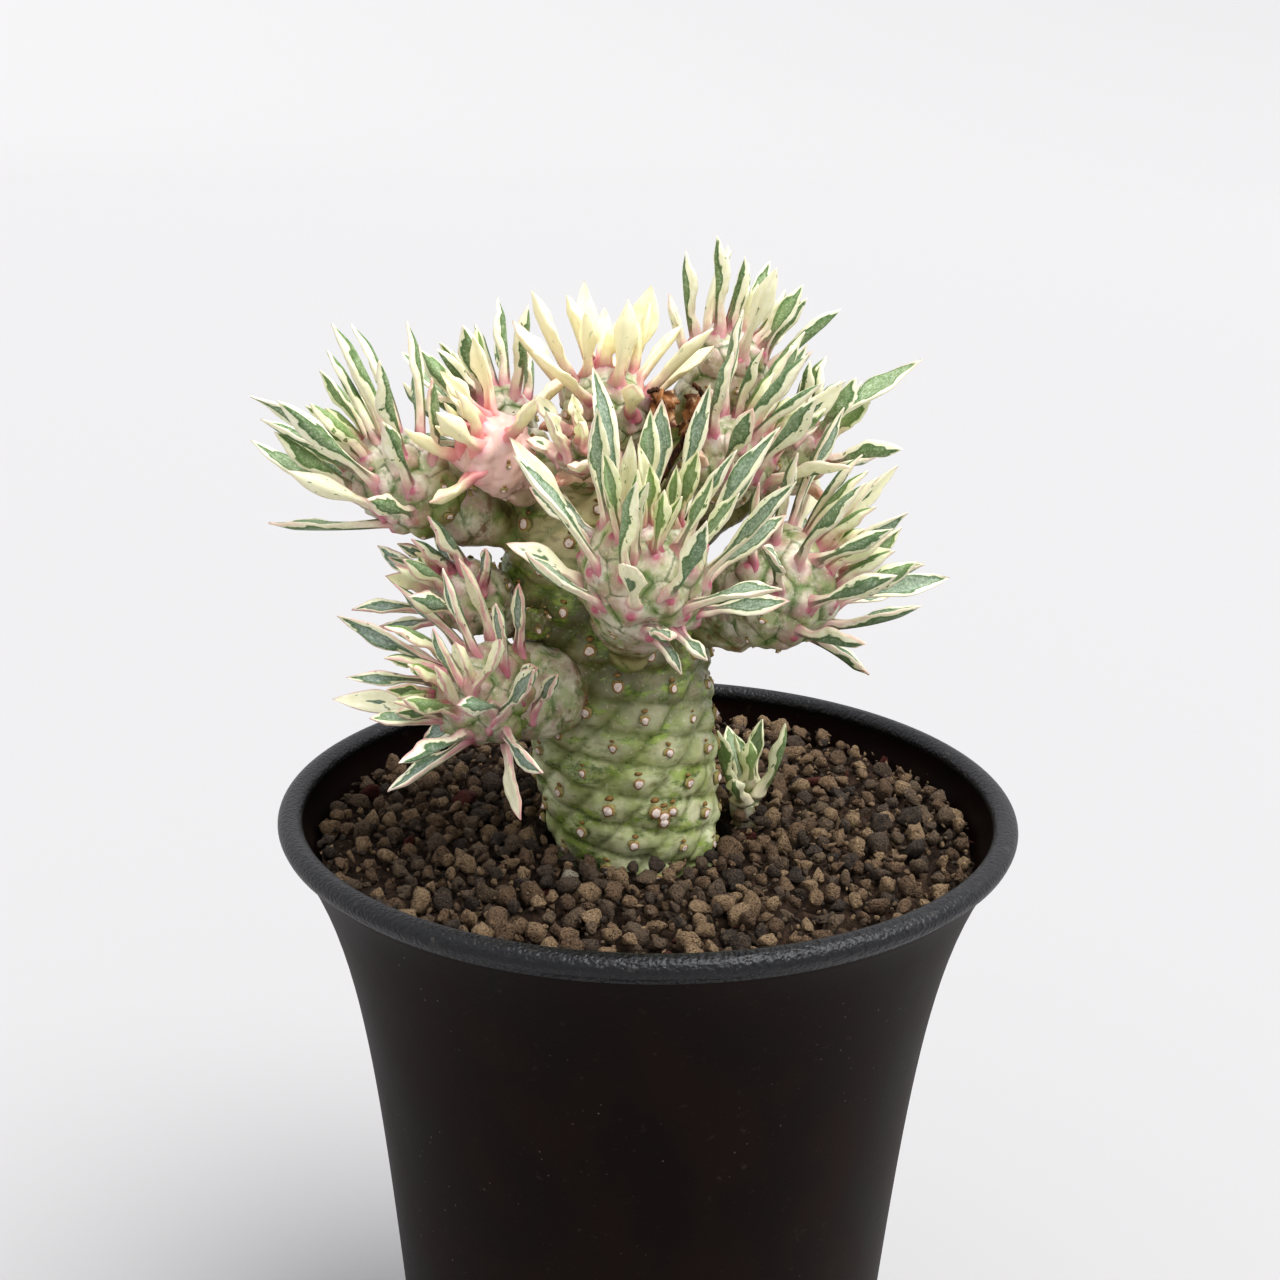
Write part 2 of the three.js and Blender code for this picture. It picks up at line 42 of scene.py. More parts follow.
# The pot: one thin moulded shell of black plastic that flares like a trumpet up to a rolled rim. The
# mould left a fine leathery grain on the rim and a pale parting line under it; the wall is smoother.
rim_plane = 116.55
rim_radius = 52.5
rim_wide = 3.4
rim_tall = 2.9
wall_thick = 1.8
floor_thick = 2.5
parting_lift = 0.14
pot_sides = 160
rim_from_height = 113.8
rim_from_radius = 48.7


def wall_at(z):
    return 34 + 0.075 * z + 8.4 * math.exp((z - rim_plane + 1.5) / 17)


def is_vector(value):
    if isinstance(value, Wire):
        return value.socket.type in ("VECTOR", "RGBA")
    return isinstance(value, tuple)


def sum_of(operation, swapped=False):
    """A method of a wire that adds the node of one operation, with its values swapped if need be."""
    def method(self, *others):
        return self.reckon(operation, *((*others, self) if swapped else (self, *others)))
    return method


class Wire:
    """A socket to reckon with: each operator adds the Math or Vector Math node that works it out."""

    def __init__(self, sketch, socket):
        self.sketch = sketch
        self.socket = socket

    def reckon(self, operation, *values):
        kind = "ShaderNodeVectorMath" if any(map(is_vector, values)) else "ShaderNodeMath"
        return self.sketch.node(kind, {"operation": operation}, values)

    def __mul__(self, other):
        if is_vector(self) == is_vector(other):
            return self.reckon("MULTIPLY", self, other)
        vector, number = (self, other) if is_vector(self) else (other, self)
        return self.reckon("SCALE", vector, number)

    __rmul__ = __mul__
    __add__ = __radd__ = sum_of("ADD")
    __sub__ = sum_of("SUBTRACT")
    __rsub__ = sum_of("SUBTRACT", swapped=True)
    __truediv__ = sum_of("DIVIDE")
    __pow__ = sum_of("POWER")
    __abs__ = sum_of("ABSOLUTE")
    sine = sum_of("SINE")
    cosine = sum_of("COSINE")
    exp = sum_of("EXPONENT")
    least = sum_of("MINIMUM")
    most = sum_of("MAXIMUM")
    cross = sum_of("CROSS_PRODUCT")
    length = sum_of("LENGTH")
    unit = sum_of("NORMALIZE")

    def part(self, axis):
        return self.sketch.node("ShaderNodeSeparateXYZ", {}, (self,), axis)

    def between(self, low, high):
        """0 at low and 1 at high, with a soft start and end."""
        return self.sketch.node("ShaderNodeMapRange", {"interpolation_type": "SMOOTHSTEP"},
                                (self, low, high, 0.0, 1.0))


class Sketch:
    """A node tree being drawn."""

    def __init__(self, tree):
        self.tree = tree

    def node(self, kind, settings=None, inputs=(), out=None):
        """Adds a node: its settings come first, then the values or links of its sockets."""
        made = self.tree.nodes.new(kind)
        for name, value in (settings or {}).items():
            if name == "stops":
                for extra in range(len(value) - 2):
                    made.color_ramp.elements.new(0.5)
                for stop, (at, shade) in zip(made.color_ramp.elements, value):
                    stop.position = at
                    stop.color = shade
            else:
                setattr(made, name, value)
        ready = [socket for socket in made.inputs if socket.enabled]
        named = inputs.items() if isinstance(inputs, dict) else zip(range(len(inputs)), inputs)
        for key, value in named:
            if isinstance(key, int):
                self.feed(ready[key], value)
            else:
                self.feed(next(socket for socket in ready if socket.name == key), value)
        results = [socket for socket in made.outputs if socket.enabled]
        if out is None:
            return Wire(self, results[0])
        return Wire(self, next(socket for socket in results if socket.name == out))

    def feed(self, socket, value):
        if isinstance(value, Wire):
            self.tree.links.new(value.socket, socket)
        else:
            socket.default_value = value

    def vector(self, *parts):
        return self.node("ShaderNodeCombineXYZ", {}, parts)

    def mix(self, factor, low, high):
        """One colour going over to another. Each is a wire or a web code."""
        low, high = (shade(colour) if isinstance(colour, str) else colour for colour in (low, high))
        return self.node("ShaderNodeMix", {"data_type": "RGBA"}, (factor, low, high))

    def painted(self, colour, coats):
        """A colour under its coats. Each coat says how much of it there is, and its own colour."""
        for amount, over in coats:
            colour = self.mix(amount, colour, over)
        return colour

    def noise(self, place, scale, detail=3.0, roughness=0.55):
        return self.node("ShaderNodeTexNoise", {}, {
            "Vector": place, "Scale": scale, "Detail": detail, "Roughness": roughness,
        })

    def cells(self, place, scale, feature="F1"):
        return self.node("ShaderNodeTexVoronoi", {"feature": feature}, {"Vector": place, "Scale": scale})

    def place(self):
        """Where the surface is, in millimetres."""
        return self.node("ShaderNodeTexCoord", out="Object") * 1000.0

    def attribute(self, name, out="Vector"):
        return self.node("ShaderNodeAttribute", {"attribute_name": name}, out=out)


def shade(code):
    """A colour from its usual six-digit web code, as light."""
    parts = [int(code[k:k + 2], 16) / 255 for k in (1, 3, 5)]
    return tuple(((p + 0.055) / 1.055) ** 2.4 if p > 0.04045 else p / 12.92 for p in parts) + (1.0,)


def finish_of(name, shine, fixed=()):
    """A material, its shader with the fixed values set on it, and the sketch of its tree."""
    material = bpy.data.materials.new(name)
    material.use_nodes = True
    shader = material.node_tree.nodes["Principled BSDF"]
    for socket, value in [("Specular IOR Level", shine), *fixed]:
        shader.inputs[socket].default_value = value
    return material, shader, Sketch(material.node_tree)


def dress(sketch, shader, colour, roughness, height, strength, distance):
    """Feeds the colour, the roughness and a bump of so many millimetres to the shader."""
    sketch.feed(shader.inputs["Base Color"], colour)
    sketch.feed(shader.inputs["Roughness"], roughness)
    bump = sketch.node("ShaderNodeBump", {}, {
        "Strength": strength, "Distance": distance * mm, "Height": height,
    })
    sketch.feed(shader.inputs["Normal"], bump)


def finished_with(piece, *finishes):
    """Gives a piece these materials alone."""
    piece.data.materials.clear()
    for finish in finishes:
        piece.data.materials.append(finish)


def set_down(name, mesh):
    """A piece with that name and mesh, in the scene."""
    piece = bpy.data.objects.new(name, mesh)
    bpy.context.scene.collection.objects.link(piece)
    return piece


def turned(name, outline, sides):
    """A closed body turned round the upright axis, from its outline of radii and heights in mm."""
    rings = [(r, z) for r, z in outline if r > 0]
    vertices = [(0, 0, outline[0][1] * mm)]
    for r, z in rings:
        for k in range(sides):
            a = 2 * math.pi * k / sides
            vertices.append((r * math.cos(a) * mm, r * math.sin(a) * mm, z * mm))
    vertices.append((0, 0, outline[-1][1] * mm))
    top = len(vertices) - 1
    last = top - sides
    faces = []
    for k in range(sides):
        n = (k + 1) % sides
        faces.append((0, 1 + n, 1 + k))
        faces.append((last + k, last + n, top))
        for j in range(len(rings) - 1):
            low = 1 + j * sides
            faces.append((low + k, low + n, low + sides + n, low + sides + k))
    mesh = bpy.data.meshes.new(name)
    mesh.from_pydata(vertices, [], faces)
    mesh.shade_smooth()
    return set_down(name, mesh)


# The outline goes from the middle of the base up the outside, round the rim and down the inside.
rim_centre = rim_radius - rim_wide / 2
pot_outline = [(0, 0), (wall_at(0) - 1.6, 0), (wall_at(0) - 0.5, 0.25), (wall_at(1) - 0.1, 1.2)]
pot_outline += [(wall_at(z), z) for z in np.linspace(3, 112.6, 34)]
pot_outline += [(wall_at(113.2) + 0.1, 113.2), (rim_centre - 0.1, 114.2)]
for a in np.linspace(-78, 215, 40):
    swell = parting_lift * math.exp(-((a + 38) / 5) ** 2)
    across = (rim_wide / 2 + swell) * math.cos(math.radians(a))
    up = (rim_tall / 2 + swell) * math.sin(math.radians(a))
    pot_outline.append((rim_centre + across, rim_plane + up))
pot_outline += [(wall_at(z) - wall_thick, z) for z in np.linspace(112.5, floor_thick + 2, 26)]
pot_outline += [(wall_at(floor_thick) - wall_thick - 1.2, floor_thick + 0.4), (0, floor_thick)]
pot = turned("black_plastic_pot", pot_outline, pot_sides)

wall_finish, wall_shader, art = finish_of("black plastic wall with painted brown reflection", 0.1)
at = art.place()
brushed = art.noise(at * (1.0, 1.0, 0.6), 0.09, 3.0)
dust = art.noise(at, 0.55, 5.0, 0.7).between(0.6, 0.78)
specks = art.cells(at, 0.55).between(0.1, 0.03) * art.noise(at, 0.05).between(0.42, 0.6)
# The wall's near-black is the plastic's own; its dark brown tint is a painted reflection of a brown wooden
# floor.
wall_colour = art.painted("#0f0503", [
    (brushed.between(0.3, 0.75), "#190a05"),
    (0.1 * dust + 0.4 * specks, "#8d8378"),
])
grain = 0.3 * art.noise(at, 2.2, 3.0) + 0.25 * specks
dress(art, wall_shader, wall_colour, 0.44 + 0.12 * brushed + 0.2 * dust, grain, 0.4, 0.16)

rim_finish, rim_shader, art = finish_of("black leathery plastic rim", 0.42)
at = art.place()
height = at.part("Z")
leathery = art.cells(at, 2.0, "SMOOTH_F1") + 0.4 * art.noise(at, 4.2, 2.0)
dust = art.noise(at, 0.55, 5.0, 0.7).between(0.58, 0.78)
parting = height.between(115.28, 115.36) * height.between(115.56, 115.48)
parting = parting * art.noise(at, 0.4).between(0.3, 0.5)
rim_colour = art.painted("#08090a", [
    (leathery.between(0.2, 0.9), "#131418"),
    (0.25 * dust, "#8d8378"),
    (0.5 * parting, "#8f8f92"),
])
dress(art, rim_shader, rim_colour, 0.32 + 0.1 * leathery + 0.2 * dust, leathery, 0.8, 0.24)
finished_with(pot, wall_finish, rim_finish)
for face in pot.data.polygons:
    x, y, z = face.center / mm
    face.material_index = int(z > rim_from_height and math.hypot(x, y) > rim_from_radius)
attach(pot, "root")
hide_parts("pot")

# The soil: a bed of loose baked-clay grains with dark lava among them, a little red lava and pumice.
# It fills the pot to just under the rim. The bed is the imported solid, sunk under its grains.
soil_level = rim_plane - 3.8
grain_sink = 1.7
soil_tilt = 0.02
trunk_at_soil = (-1.9, 0.3)
trunk_clear = 13.0


def plan(name, inputs):
    """A geometry tree with named inputs: its sketch, and the inputs as wires."""
    tree = bpy.data.node_groups.new(name, "GeometryNodeTree")
    tree.interface.new_socket("Geometry", in_out="OUTPUT", socket_type="NodeSocketGeometry")
    tree.interface.new_socket("Geometry", in_out="INPUT", socket_type="NodeSocketGeometry")
    for key, kind in inputs.items():
        tree.interface.new_socket(key, in_out="INPUT", socket_type="NodeSocket" + kind)
    start = tree.nodes.new("NodeGroupInput")
    sketch = Sketch(tree)
    return sketch, {socket.name: Wire(sketch, socket) for socket in start.outputs if socket.name}


def close(sketch, geometry, material):
    """Ends a tree: what it made becomes plain, smooth mesh in metres, with its material."""
    plain = realized(sketch, geometry)
    sized = sketch.node("GeometryNodeTransform", {}, {"Geometry": plain, "Scale": (mm, mm, mm)})
    smooth = sketch.node("GeometryNodeSetShadeSmooth", {}, {"Geometry": sized})
    painted = sketch.node("GeometryNodeSetMaterial", {}, {"Geometry": smooth, "Material": material})
    sketch.feed(sketch.tree.nodes.new("NodeGroupOutput").inputs[0], painted)


def grown(name, mesh, sketch, values):
    """The plain mesh object that a tree makes from a mesh in millimetres."""
    piece = set_down(name, mesh)
    modifier = piece.modifiers.new(name, "NODES")
    modifier.node_group = sketch.tree
    for socket in sketch.tree.interface.items_tree:
        if socket.in_out == "INPUT" and socket.name in values:
            modifier[socket.identifier] = values[socket.name]
    depsgraph = bpy.context.evaluated_depsgraph_get()
    made = bpy.data.meshes.new_from_object(piece.evaluated_get(depsgraph), depsgraph=depsgraph)
    piece.modifiers.clear()
    piece.data = made
    return piece


def named(sketch, name, kind="FLOAT"):
    return sketch.node("GeometryNodeInputNamedAttribute", {"data_type": kind}, {"Name": name}, "Attribute")


def kept(sketch, geometry, name, value, kind="FLOAT", domain="POINT"):
    """The geometry with the value stored on it under a name."""
    return sketch.node("GeometryNodeStoreNamedAttribute", {"data_type": kind, "domain": domain}, {
        "Geometry": geometry, "Name": name, "Value": value,
    })


def chance(sketch, low, high, seed, kind="FLOAT"):
    return sketch.node("FunctionNodeRandomValue", {"data_type": kind}, {
        "Min": low, "Max": high, "Seed": seed,
    })


def position(sketch):
    return sketch.node("GeometryNodeInputPosition")


def moved(sketch, geometry, **where):
    """The geometry with its points put at Position, or moved on by Offset."""
    return sketch.node("GeometryNodeSetPosition", {}, {"Geometry": geometry, **where})


def realized(sketch, geometry):
    return sketch.node("GeometryNodeRealizeInstances", {}, {"Geometry": geometry})


bed = set_down("soil_bed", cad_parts["soil"].data.copy())
for vertex in bed.data.vertices:
    if vertex.co.z > (soil_level - 3) * mm:
        vertex.co.z -= grain_sink * mm

bed_finish, bed_shader, art = finish_of("damp soil under the grains", 0.3)
at = art.place()
crumbs = art.noise(at, 0.9, 6.0, 0.7)
bed_colour = art.mix(crumbs.between(0.3, 0.7), "#1f1711", "#4e3c2f")
dress(art, bed_shader, bed_colour, 0.95, crumbs, 1.0, 0.9)
finished_with(bed, bed_finish)
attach(bed, "root")
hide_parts("soil")

# The grains: crushed baked clay and dark lava, sieved to a few millimetres and poured loose onto the
# bed. They lie in two layers, with a grit of small ones between: angular lumps, no two alike.
lump_kinds = 10
sow, given = plan("thrown grains", {
    "Apart": "Float", "Seed": "Int", "Smallest": "Float", "Largest": "Float", "Sink": "Float",
    "Knobs": "Int", "From": "Float", "To": "Float", "Finish": "Material",
})
thrown = sow.node("GeometryNodeDistributePointsOnFaces", {"distribute_method": "POISSON"}, {
    "Mesh": given["Geometry"], "Distance Min": given["Apart"], "Density Max": 4.0, "Seed": given["Seed"],
})
thrown = kept(sow, thrown, "sort", chance(sow, 0.0, 1.0, 11))
sort = named(sow, "sort")
outside = sow.node("FunctionNodeBooleanMath", {"operation": "OR"}, (
    sow.node("FunctionNodeCompare", {"operation": "LESS_THAN"}, (sort, given["From"])),
    sow.node("FunctionNodeCompare", {"operation": "GREATER_EQUAL"}, (sort, given["To"])),
))
thrown = sow.node("GeometryNodeDeleteGeometry", {"domain": "POINT"}, (thrown, outside))
drop = sow.vector(0.0, 0.0, chance(sow, -0.55, 0.35, 3) - given["Sink"])
thrown = moved(sow, thrown, Offset=drop)
lumps = sow.node("GeometryNodeJoinGeometry")
for kind in range(lump_kinds):
    knobs = sow.node("GeometryNodePoints", {}, {"Count": given["Knobs"]})
    scatter = chance(sow, (-1.0, -1.0, -1.0), (1.0, 1.0, 1.0), 100 + kind, "FLOAT_VECTOR")
    reach = chance(sow, 0.8, 1.06, 200 + kind)
    knobs = moved(sow, knobs, Position=scatter.unit() * reach)
    rock = sow.node("GeometryNodeConvexHull", {}, (knobs,))
    rock = sow.node("GeometryNodeSubdivideMesh", {}, {"Mesh": rock, "Level": 1})
    softer = sow.node("GeometryNodeBlurAttribute", {"data_type": "FLOAT_VECTOR"}, {
        "Value": position(sow), "Iterations": 1, "Weight": 0.5,
    })
    rock = moved(sow, rock, Position=softer)
    rock = sow.node("GeometryNodeGeometryToInstance", {}, (rock,))
    sow.feed(lumps.socket.node.inputs[0], rock)
pick = chance(sow, 0, lump_kinds - 1, 13, "INT")
spin = chance(sow, (0.0, 0.0, 0.0), (6.28, 6.28, 6.28), 5, "FLOAT_VECTOR")
size = chance(sow, 0.0, 1.0, 7)
size = given["Smallest"] + (given["Largest"] - given["Smallest"]) * size * size
scale = sow.vector(size, size * chance(sow, 0.72, 1.0, 8), size * chance(sow, 0.6, 0.9, 9))
lumps = sow.node("GeometryNodeInstanceOnPoints", {}, {
    "Points": thrown, "Instance": lumps, "Pick Instance": True, "Instance Index": pick, "Rotation": spin,
    "Scale": scale,
})
lumps = kept(sow, lumps, "own", position(sow), "FLOAT_VECTOR", "INSTANCE")
lumps = realized(sow, lumps)
here = position(sow)
from_middle = here - named(sow, "own", "FLOAT_VECTOR")
lobes = sow.noise(here + sort * (53.0, 17.0, 91.0), 0.45, 2.0)
dents = sow.noise(here, 1.5, 4.0, 0.65)
shape = 0.7 * (lobes - 0.5) + 0.62 * (dents - 0.5)
lumps = moved(sow, lumps, Offset=from_middle * shape)
close(sow, lumps, given["Finish"])


def joined(name, pieces):
    with bpy.context.temp_override(active_object=pieces[0], selected_editable_objects=pieces):
        bpy.ops.object.join()
    pieces[0].name = name
    return pieces[0]


def clear_ground(apart):
    """The open soil between the trunk and the wall, less a margin, as a ring of faces."""
    ring = 72
    inner = trunk_clear + apart
    outer = wall_at(soil_level) - wall_thick - 0.55 * apart - 0.5
    vertices = []
    for r, x, y in ((inner, trunk_at_soil[0], trunk_at_soil[1]), (outer, 0, 0)):
        for k in range(ring):
            a = 2 * math.pi * k / ring
            px, py = x + r * math.cos(a), y + r * math.sin(a)
            vertices.append((px, py, soil_level + soil_tilt * py))
    faces = [(k, ring + k, ring + (k + 1) % ring, (k + 1) % ring) for k in range(ring)]
    mesh = bpy.data.meshes.new("open soil")
    mesh.from_pydata(vertices, [], faces)
    return mesh


# A few grains are red lava or pale pumice.
rare_grains = [(0.1, 0.107, "#5e2a20"), (0.7, 0.704, "#5a2b22"), (0.3, 0.302, "#b3ab99")]


def porous(name, shine, low, mid, high):
    """A finish of porous grain: its three shades go from grain to grain, with pale dust, and pores and
    pits darkened with painted shade.
    """
    material, shader, art = finish_of(name, shine)
    at = art.place()
    sort = art.attribute("sort", "Fac")
    own = (sort * 97.0).sine() * 0.5 + 0.5
    pores = art.cells(at, 1.9).between(0.08, 0.34)
    crumbs = art.noise(at, 2.6, 5.0, 0.7)
    dusty = art.noise(at, 0.8, 4.0, 0.6).between(0.52, 0.75)
    pits = art.noise(at, 5.0, 3.0, 0.7).between(0.5, 0.42)
    sparkle = art.cells(at, 2.4).between(0.09, 0.05)
    stops = [(0.0, shade(low)), (0.5, shade(mid)), (1.0, shade(high))]
    dryness = own * 0.62 + crumbs.between(0.34, 0.68) * 0.4
    tone = art.node("ShaderNodeValToRGB", {"stops": stops}, (dryness,))
    coats = [(sort.between(start, start + 1e-5) * sort.between(end, end - 1e-5), rare)
             for start, end, rare in rare_grains]
    coats += [
        (0.28 * dusty, "#a58d6c"),
        # Dark pores and pits: painted shade in the hollows.
        ((0.7 * (1.0 - pores)).most(0.35 * pits), "#1d1611"),
        (0.5 * sparkle, "#d8cdb8"),
    ]
    tone = art.painted(tone, coats)
    dress(art, shader, tone, 0.88 - 0.3 * sparkle, pores * 0.6 + crumbs * 1.2 - 0.3 * pits, 1.0, 0.7)
    return material


clay = porous("baked brown clay", 0.35, "#614e3f", "#947a60", "#bba17f")
lava = porous("dark lava", 0.4, "#37302b", "#66574a", "#8c775f")
clay_share = 0.56
grain_layers = [
    (2.75, 21, 1.35, 2.6, 0.0, 18),
    (2.8, 22, 1.4, 2.4, 1.9, 9),
    (1.7, 23, 0.5, 1.15, 0.1, 9),
]
for name, finish, first, last in (
    ("brown_clay_grains", clay, 0.0, clay_share), ("dark_lava_grains", lava, clay_share, 1.0),
):
    layers = []
    for apart, seed, smallest, largest, sink, knobs in grain_layers:
        layers.append(grown(name, clear_ground(largest), sow, {
            "Apart": apart, "Seed": seed, "Smallest": smallest, "Largest": largest, "Sink": sink,
            "Knobs": knobs, "From": first, "To": last, "Finish": finish,
        }))
    grains = joined(name, layers)
    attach(grains, "root")

# The trunk: a stout green stem without bark, one closed skin of flat diamond warts in spirals. Each
# wart bore a leaf once: a round corky scar is left on it, with the stub of a tiny spine above.
golden_turn = 137.507764
sky = np.array([0.0, 0.0, 1.0])
trunk = {
    "foot": np.array([0.2, 0.4, 97.0]), "top": np.array([-9.4, 0.0, 167.5]), "radius": 13.6,
    "power": 3.2, "taper": 0.07, "cell": 36.0, "spin": 0.0, "hand": -1,
}


def draw(i, salt):
    """A number from 0 to 1 that is always the same for the same leaf and purpose."""
    s = math.sin(i * 12.9898 + salt * 78.233) * 43758.5453
    return s - math.floor(s)


def spread(i, salt, low, high):
    return low + (high - low) * draw(i, salt)


def unit(v):
    return v / np.linalg.norm(v)


def sideways(axis):
    side = unit(np.cross(axis, sky if abs(axis[2]) < 0.9 else np.array([0.0, 1.0, 0.0])))
    return side, np.cross(axis, side)


def barrel_profile(body, turn):
    """Radius and height of a rounded barrel: turn is 0 at its top and half a circle at its foot."""
    c, s, p = math.cos(turn), math.sin(turn), body["power"]
    size = (abs(c) ** p + abs(s) ** p) ** (-1 / p)
    return body["radius"] * s * size * (1 + body.get("taper", 0) * c * size), body["half"] * c * size


def growth_points(body):
    """Where the leaves sprout: a golden-angle spiral, evenly spread over the skin from the tip down."""
    steps = 240
    line = [barrel_profile(body, math.pi * k / steps) for k in range(steps + 1)]
    skin = [0.0]
    for (r0, h0), (r1, h1) in zip(line, line[1:]):
        skin.append(skin[-1] + math.pi * (r0 + r1) * math.hypot(r1 - r0, h1 - h0))
    count = int(skin[-1] / body["cell"] + 0.5)
    side, other = sideways(body["axis"])
    points = []
    k = 1
    for i in range(count):
        target = skin[-1] * (i + 0.5) / count
        while skin[k] < target:
            k += 1
        f = (target - skin[k - 1]) / (skin[k] - skin[k - 1])
        r = line[k - 1][0] + (line[k][0] - line[k - 1][0]) * f
        h = line[k - 1][1] + (line[k][1] - line[k - 1][1]) * f
        turn = math.radians(body["spin"] + body["hand"] * golden_turn * i)
        out = side * math.cos(turn) + other * math.sin(turn)
        points.append((body["centre"] + body["axis"] * h + out * r, out))
    return points


def marked(name, places, marks):
    """A mesh of loose points in mm that carry the given marks, for a geometry tree to work from."""
    mesh = bpy.data.meshes.new(name)
    mesh.vertices.add(len(places))
    mesh.vertices.foreach_set("co", np.asarray(places, np.float32).ravel())
    for key, values in marks.items():
        stored(mesh, key, values)
    return mesh


trunk["axis"] = unit(trunk["top"] - trunk["foot"])
trunk["half"] = np.linalg.norm(trunk["top"] - trunk["foot"]) / 2
trunk["centre"] = (trunk["top"] + trunk["foot"]) / 2
trunk["points"] = growth_points(trunk)


def warted(mesh, at, normal, body, peaks, relief, borne):
    """Raises a low wart round each growth point of a skin, with creases between, and marks its places.

    The relief says how tall the warts are for their width, the depth of the creases, the height of the
    warts, and how far a leaf pulls its own wart out.
    """
    stretch, crease, dome_height, pull = relief
    axis = body["axis"]
    tall_at = at + np.outer(at @ axis, axis) * (stretch - 1)
    tall_peaks = peaks + np.outer(peaks @ axis, axis) * (stretch - 1)
    gaps = np.linalg.norm(tall_at[:, None] - tall_peaks, axis=2)
    order = np.argpartition(gaps, 1, axis=1)[:, :2]
    near = np.take_along_axis(gaps, order, axis=1)
    order = np.take_along_axis(order, near.argsort(axis=1), axis=1)
    near.sort(axis=1)
    apart = math.sqrt(body["cell"] * stretch)
    inside = (near[:, 1] - near[:, 0]) / apart
    peak = order[:, 0]
    from_peak = at - peaks[peak]
    height = from_peak @ axis
    steps = np.linalg.norm(from_peak, axis=1)
    across = np.sqrt(np.maximum(steps ** 2 - height ** 2, 0))
    bears = np.isin(peak, list(borne)).astype(float)
    rib = np.exp(-(across / 0.95) ** 2)
    rib = rib * np.clip((height + 5) / 5, 0, 1) * np.clip(1 - height / 0.8, 0, 1)
    dome = np.clip(1 - (near[:, 0] / (0.78 * apart)) ** 2, 0, 1) - 1
    overhang = 0.09 * np.clip(-height, -2, 2)
    groove = np.exp(-(inside / 0.13) ** 2) * (0.55 + 0.45 * lumps_at(at, 0.11))
    pulled = bears * (0.2 * np.exp(-(steps / 1.3) ** 2) + 0.6 * rib)
    uneven = 0.5 * lumps_at(at, 0.16) + 0.11 * lumps_at(at, 0.5) + 0.03 * lumps_at(at, 1.5)
    lift = dome_height * (dome + overhang) - crease * groove + pull * pulled + uneven
    mesh.vertices.foreach_set("co", ((at + normal * lift[:, None]) * mm).ravel())
    stored(mesh, "inside", inside)
    stored(mesh, "leaf_base", bears * np.maximum(np.exp(-(steps / 1.15) ** 2), 0.75 * rib))


def slimmed(body, rise):
    """How much of its width a body keeps towards its foot, where rise is -1."""
    return 1 - body.get("slim", 0) * np.clip(-rise, 0, 1) ** 1.5


def warty_skin(name, body, relief, fineness, finish, tint=0.0, borne=()):
    """The closed skin of a rounded barrel, with its warts."""
    ball = bmesh.new()
    bmesh.ops.create_icosphere(ball, subdivisions=fineness, radius=1)
    mesh = bpy.data.meshes.new(name)
    ball.to_mesh(mesh)
    ball.free()
    toward = np.empty(len(mesh.vertices) * 3)
    mesh.vertices.foreach_get("co", toward)
    toward = toward.reshape(-1, 3)
    axis, power = body["axis"], body["power"]
    rise = toward @ axis
    level = toward - rise[:, None] * axis
    round_off = (np.abs(rise) ** power + np.linalg.norm(level, axis=1) ** power) ** (-1 / power)
    wide = body["radius"] * round_off * (1 + body.get("taper", 0) * rise * round_off)
    wide *= slimmed(body, rise * round_off)
    at = body["centre"] + axis * (body["half"] * rise * round_off)[:, None] + level * wide[:, None]
    mesh.vertices.foreach_set("co", at.ravel())
    mesh.update()
    normal = np.empty(len(mesh.vertices) * 3)
    mesh.vertex_normals.foreach_get("vector", normal)
    peaks = np.array([at for at, out in body["points"]])
    warted(mesh, at, normal.reshape(-1, 3), body, peaks, relief, borne)
    stored(mesh, "tint", np.full(len(at), float(tint)))
    from_foot = body["half"] * (1 + rise * round_off) + 1.2 * lumps_at(at, 0.12)
    aged = np.clip((2 * body["half"] * body.get("aged", -1) - from_foot) / 2.5, 0, 1)
    stored(mesh, "foot", aged)
    mesh.shade_smooth()
    mesh.materials.append(finish)
    return set_down(name, mesh)


def lumps_at(at, pace):
    """Gentle unevenness from -1 to 1, of about so many lumps in a millimetre."""
    waves = [
        ((1.0, 0.7, 0.4), 0.3), ((-0.6, 1.1, 0.5), 1.7), ((0.3, -0.8, 1.2), 4.1), ((1.3, 0.2, -0.9), 2.6),
    ]
    return sum(np.sin(at @ np.array(way) * 6.28 * pace + start) for way, start in waves) / 4


def stored(mesh, key, values):
    values = np.asarray(values, np.float32)
    kind, field = ("FLOAT_VECTOR", "vector") if values.ndim == 2 else ("FLOAT", "value")
    mesh.attributes.new(key, kind, "POINT").data.foreach_set(field, values.ravel())


# A leaf scar is a round crater with a corky rim, and a spine stub stands just above it.
scar_lift = 0.1
scar_plan, given = plan("leaf scars", {"Finish": "Material"})
button = scar_plan.node("GeometryNodeMeshUVSphere", {}, {
    "Segments": 12, "Rings": 7, "Radius": 1.0,
}, "Mesh")
here = position(scar_plan)
out_from = (here * (1.0, 1.0, 0.0)).length()
crater = 0.42 * out_from.between(1.0, 0.72) - 0.1 * out_from.between(0.74, 0.6)
crater = crater + 0.3 * out_from.between(0.56, 0.0)
lifted = crater * here.part("Z").between(-0.05, 0.1) + 0.25 * here.part("Z") - 0.1
flatter = scar_plan.vector(here.part("X"), here.part("Y"), lifted)
button = moved(scar_plan, button, Position=flatter)
button = kept(scar_plan, button, "scar", out_from)
stub = scar_plan.node("GeometryNodeMeshCone", {}, {
    "Vertices": 8, "Side Segments": 1, "Radius Top": 0.2, "Radius Bottom": 0.46, "Depth": 0.2,
}, "Mesh")
stub = scar_plan.node("GeometryNodeTransform", {}, {
    "Geometry": stub, "Translation": (0.0, 1.55, 0.0), "Scale": (1.3, 0.8, 1.0),
})
stub = kept(scar_plan, stub, "scar", 2.0)
pattern = scar_plan.node("GeometryNodeJoinGeometry")
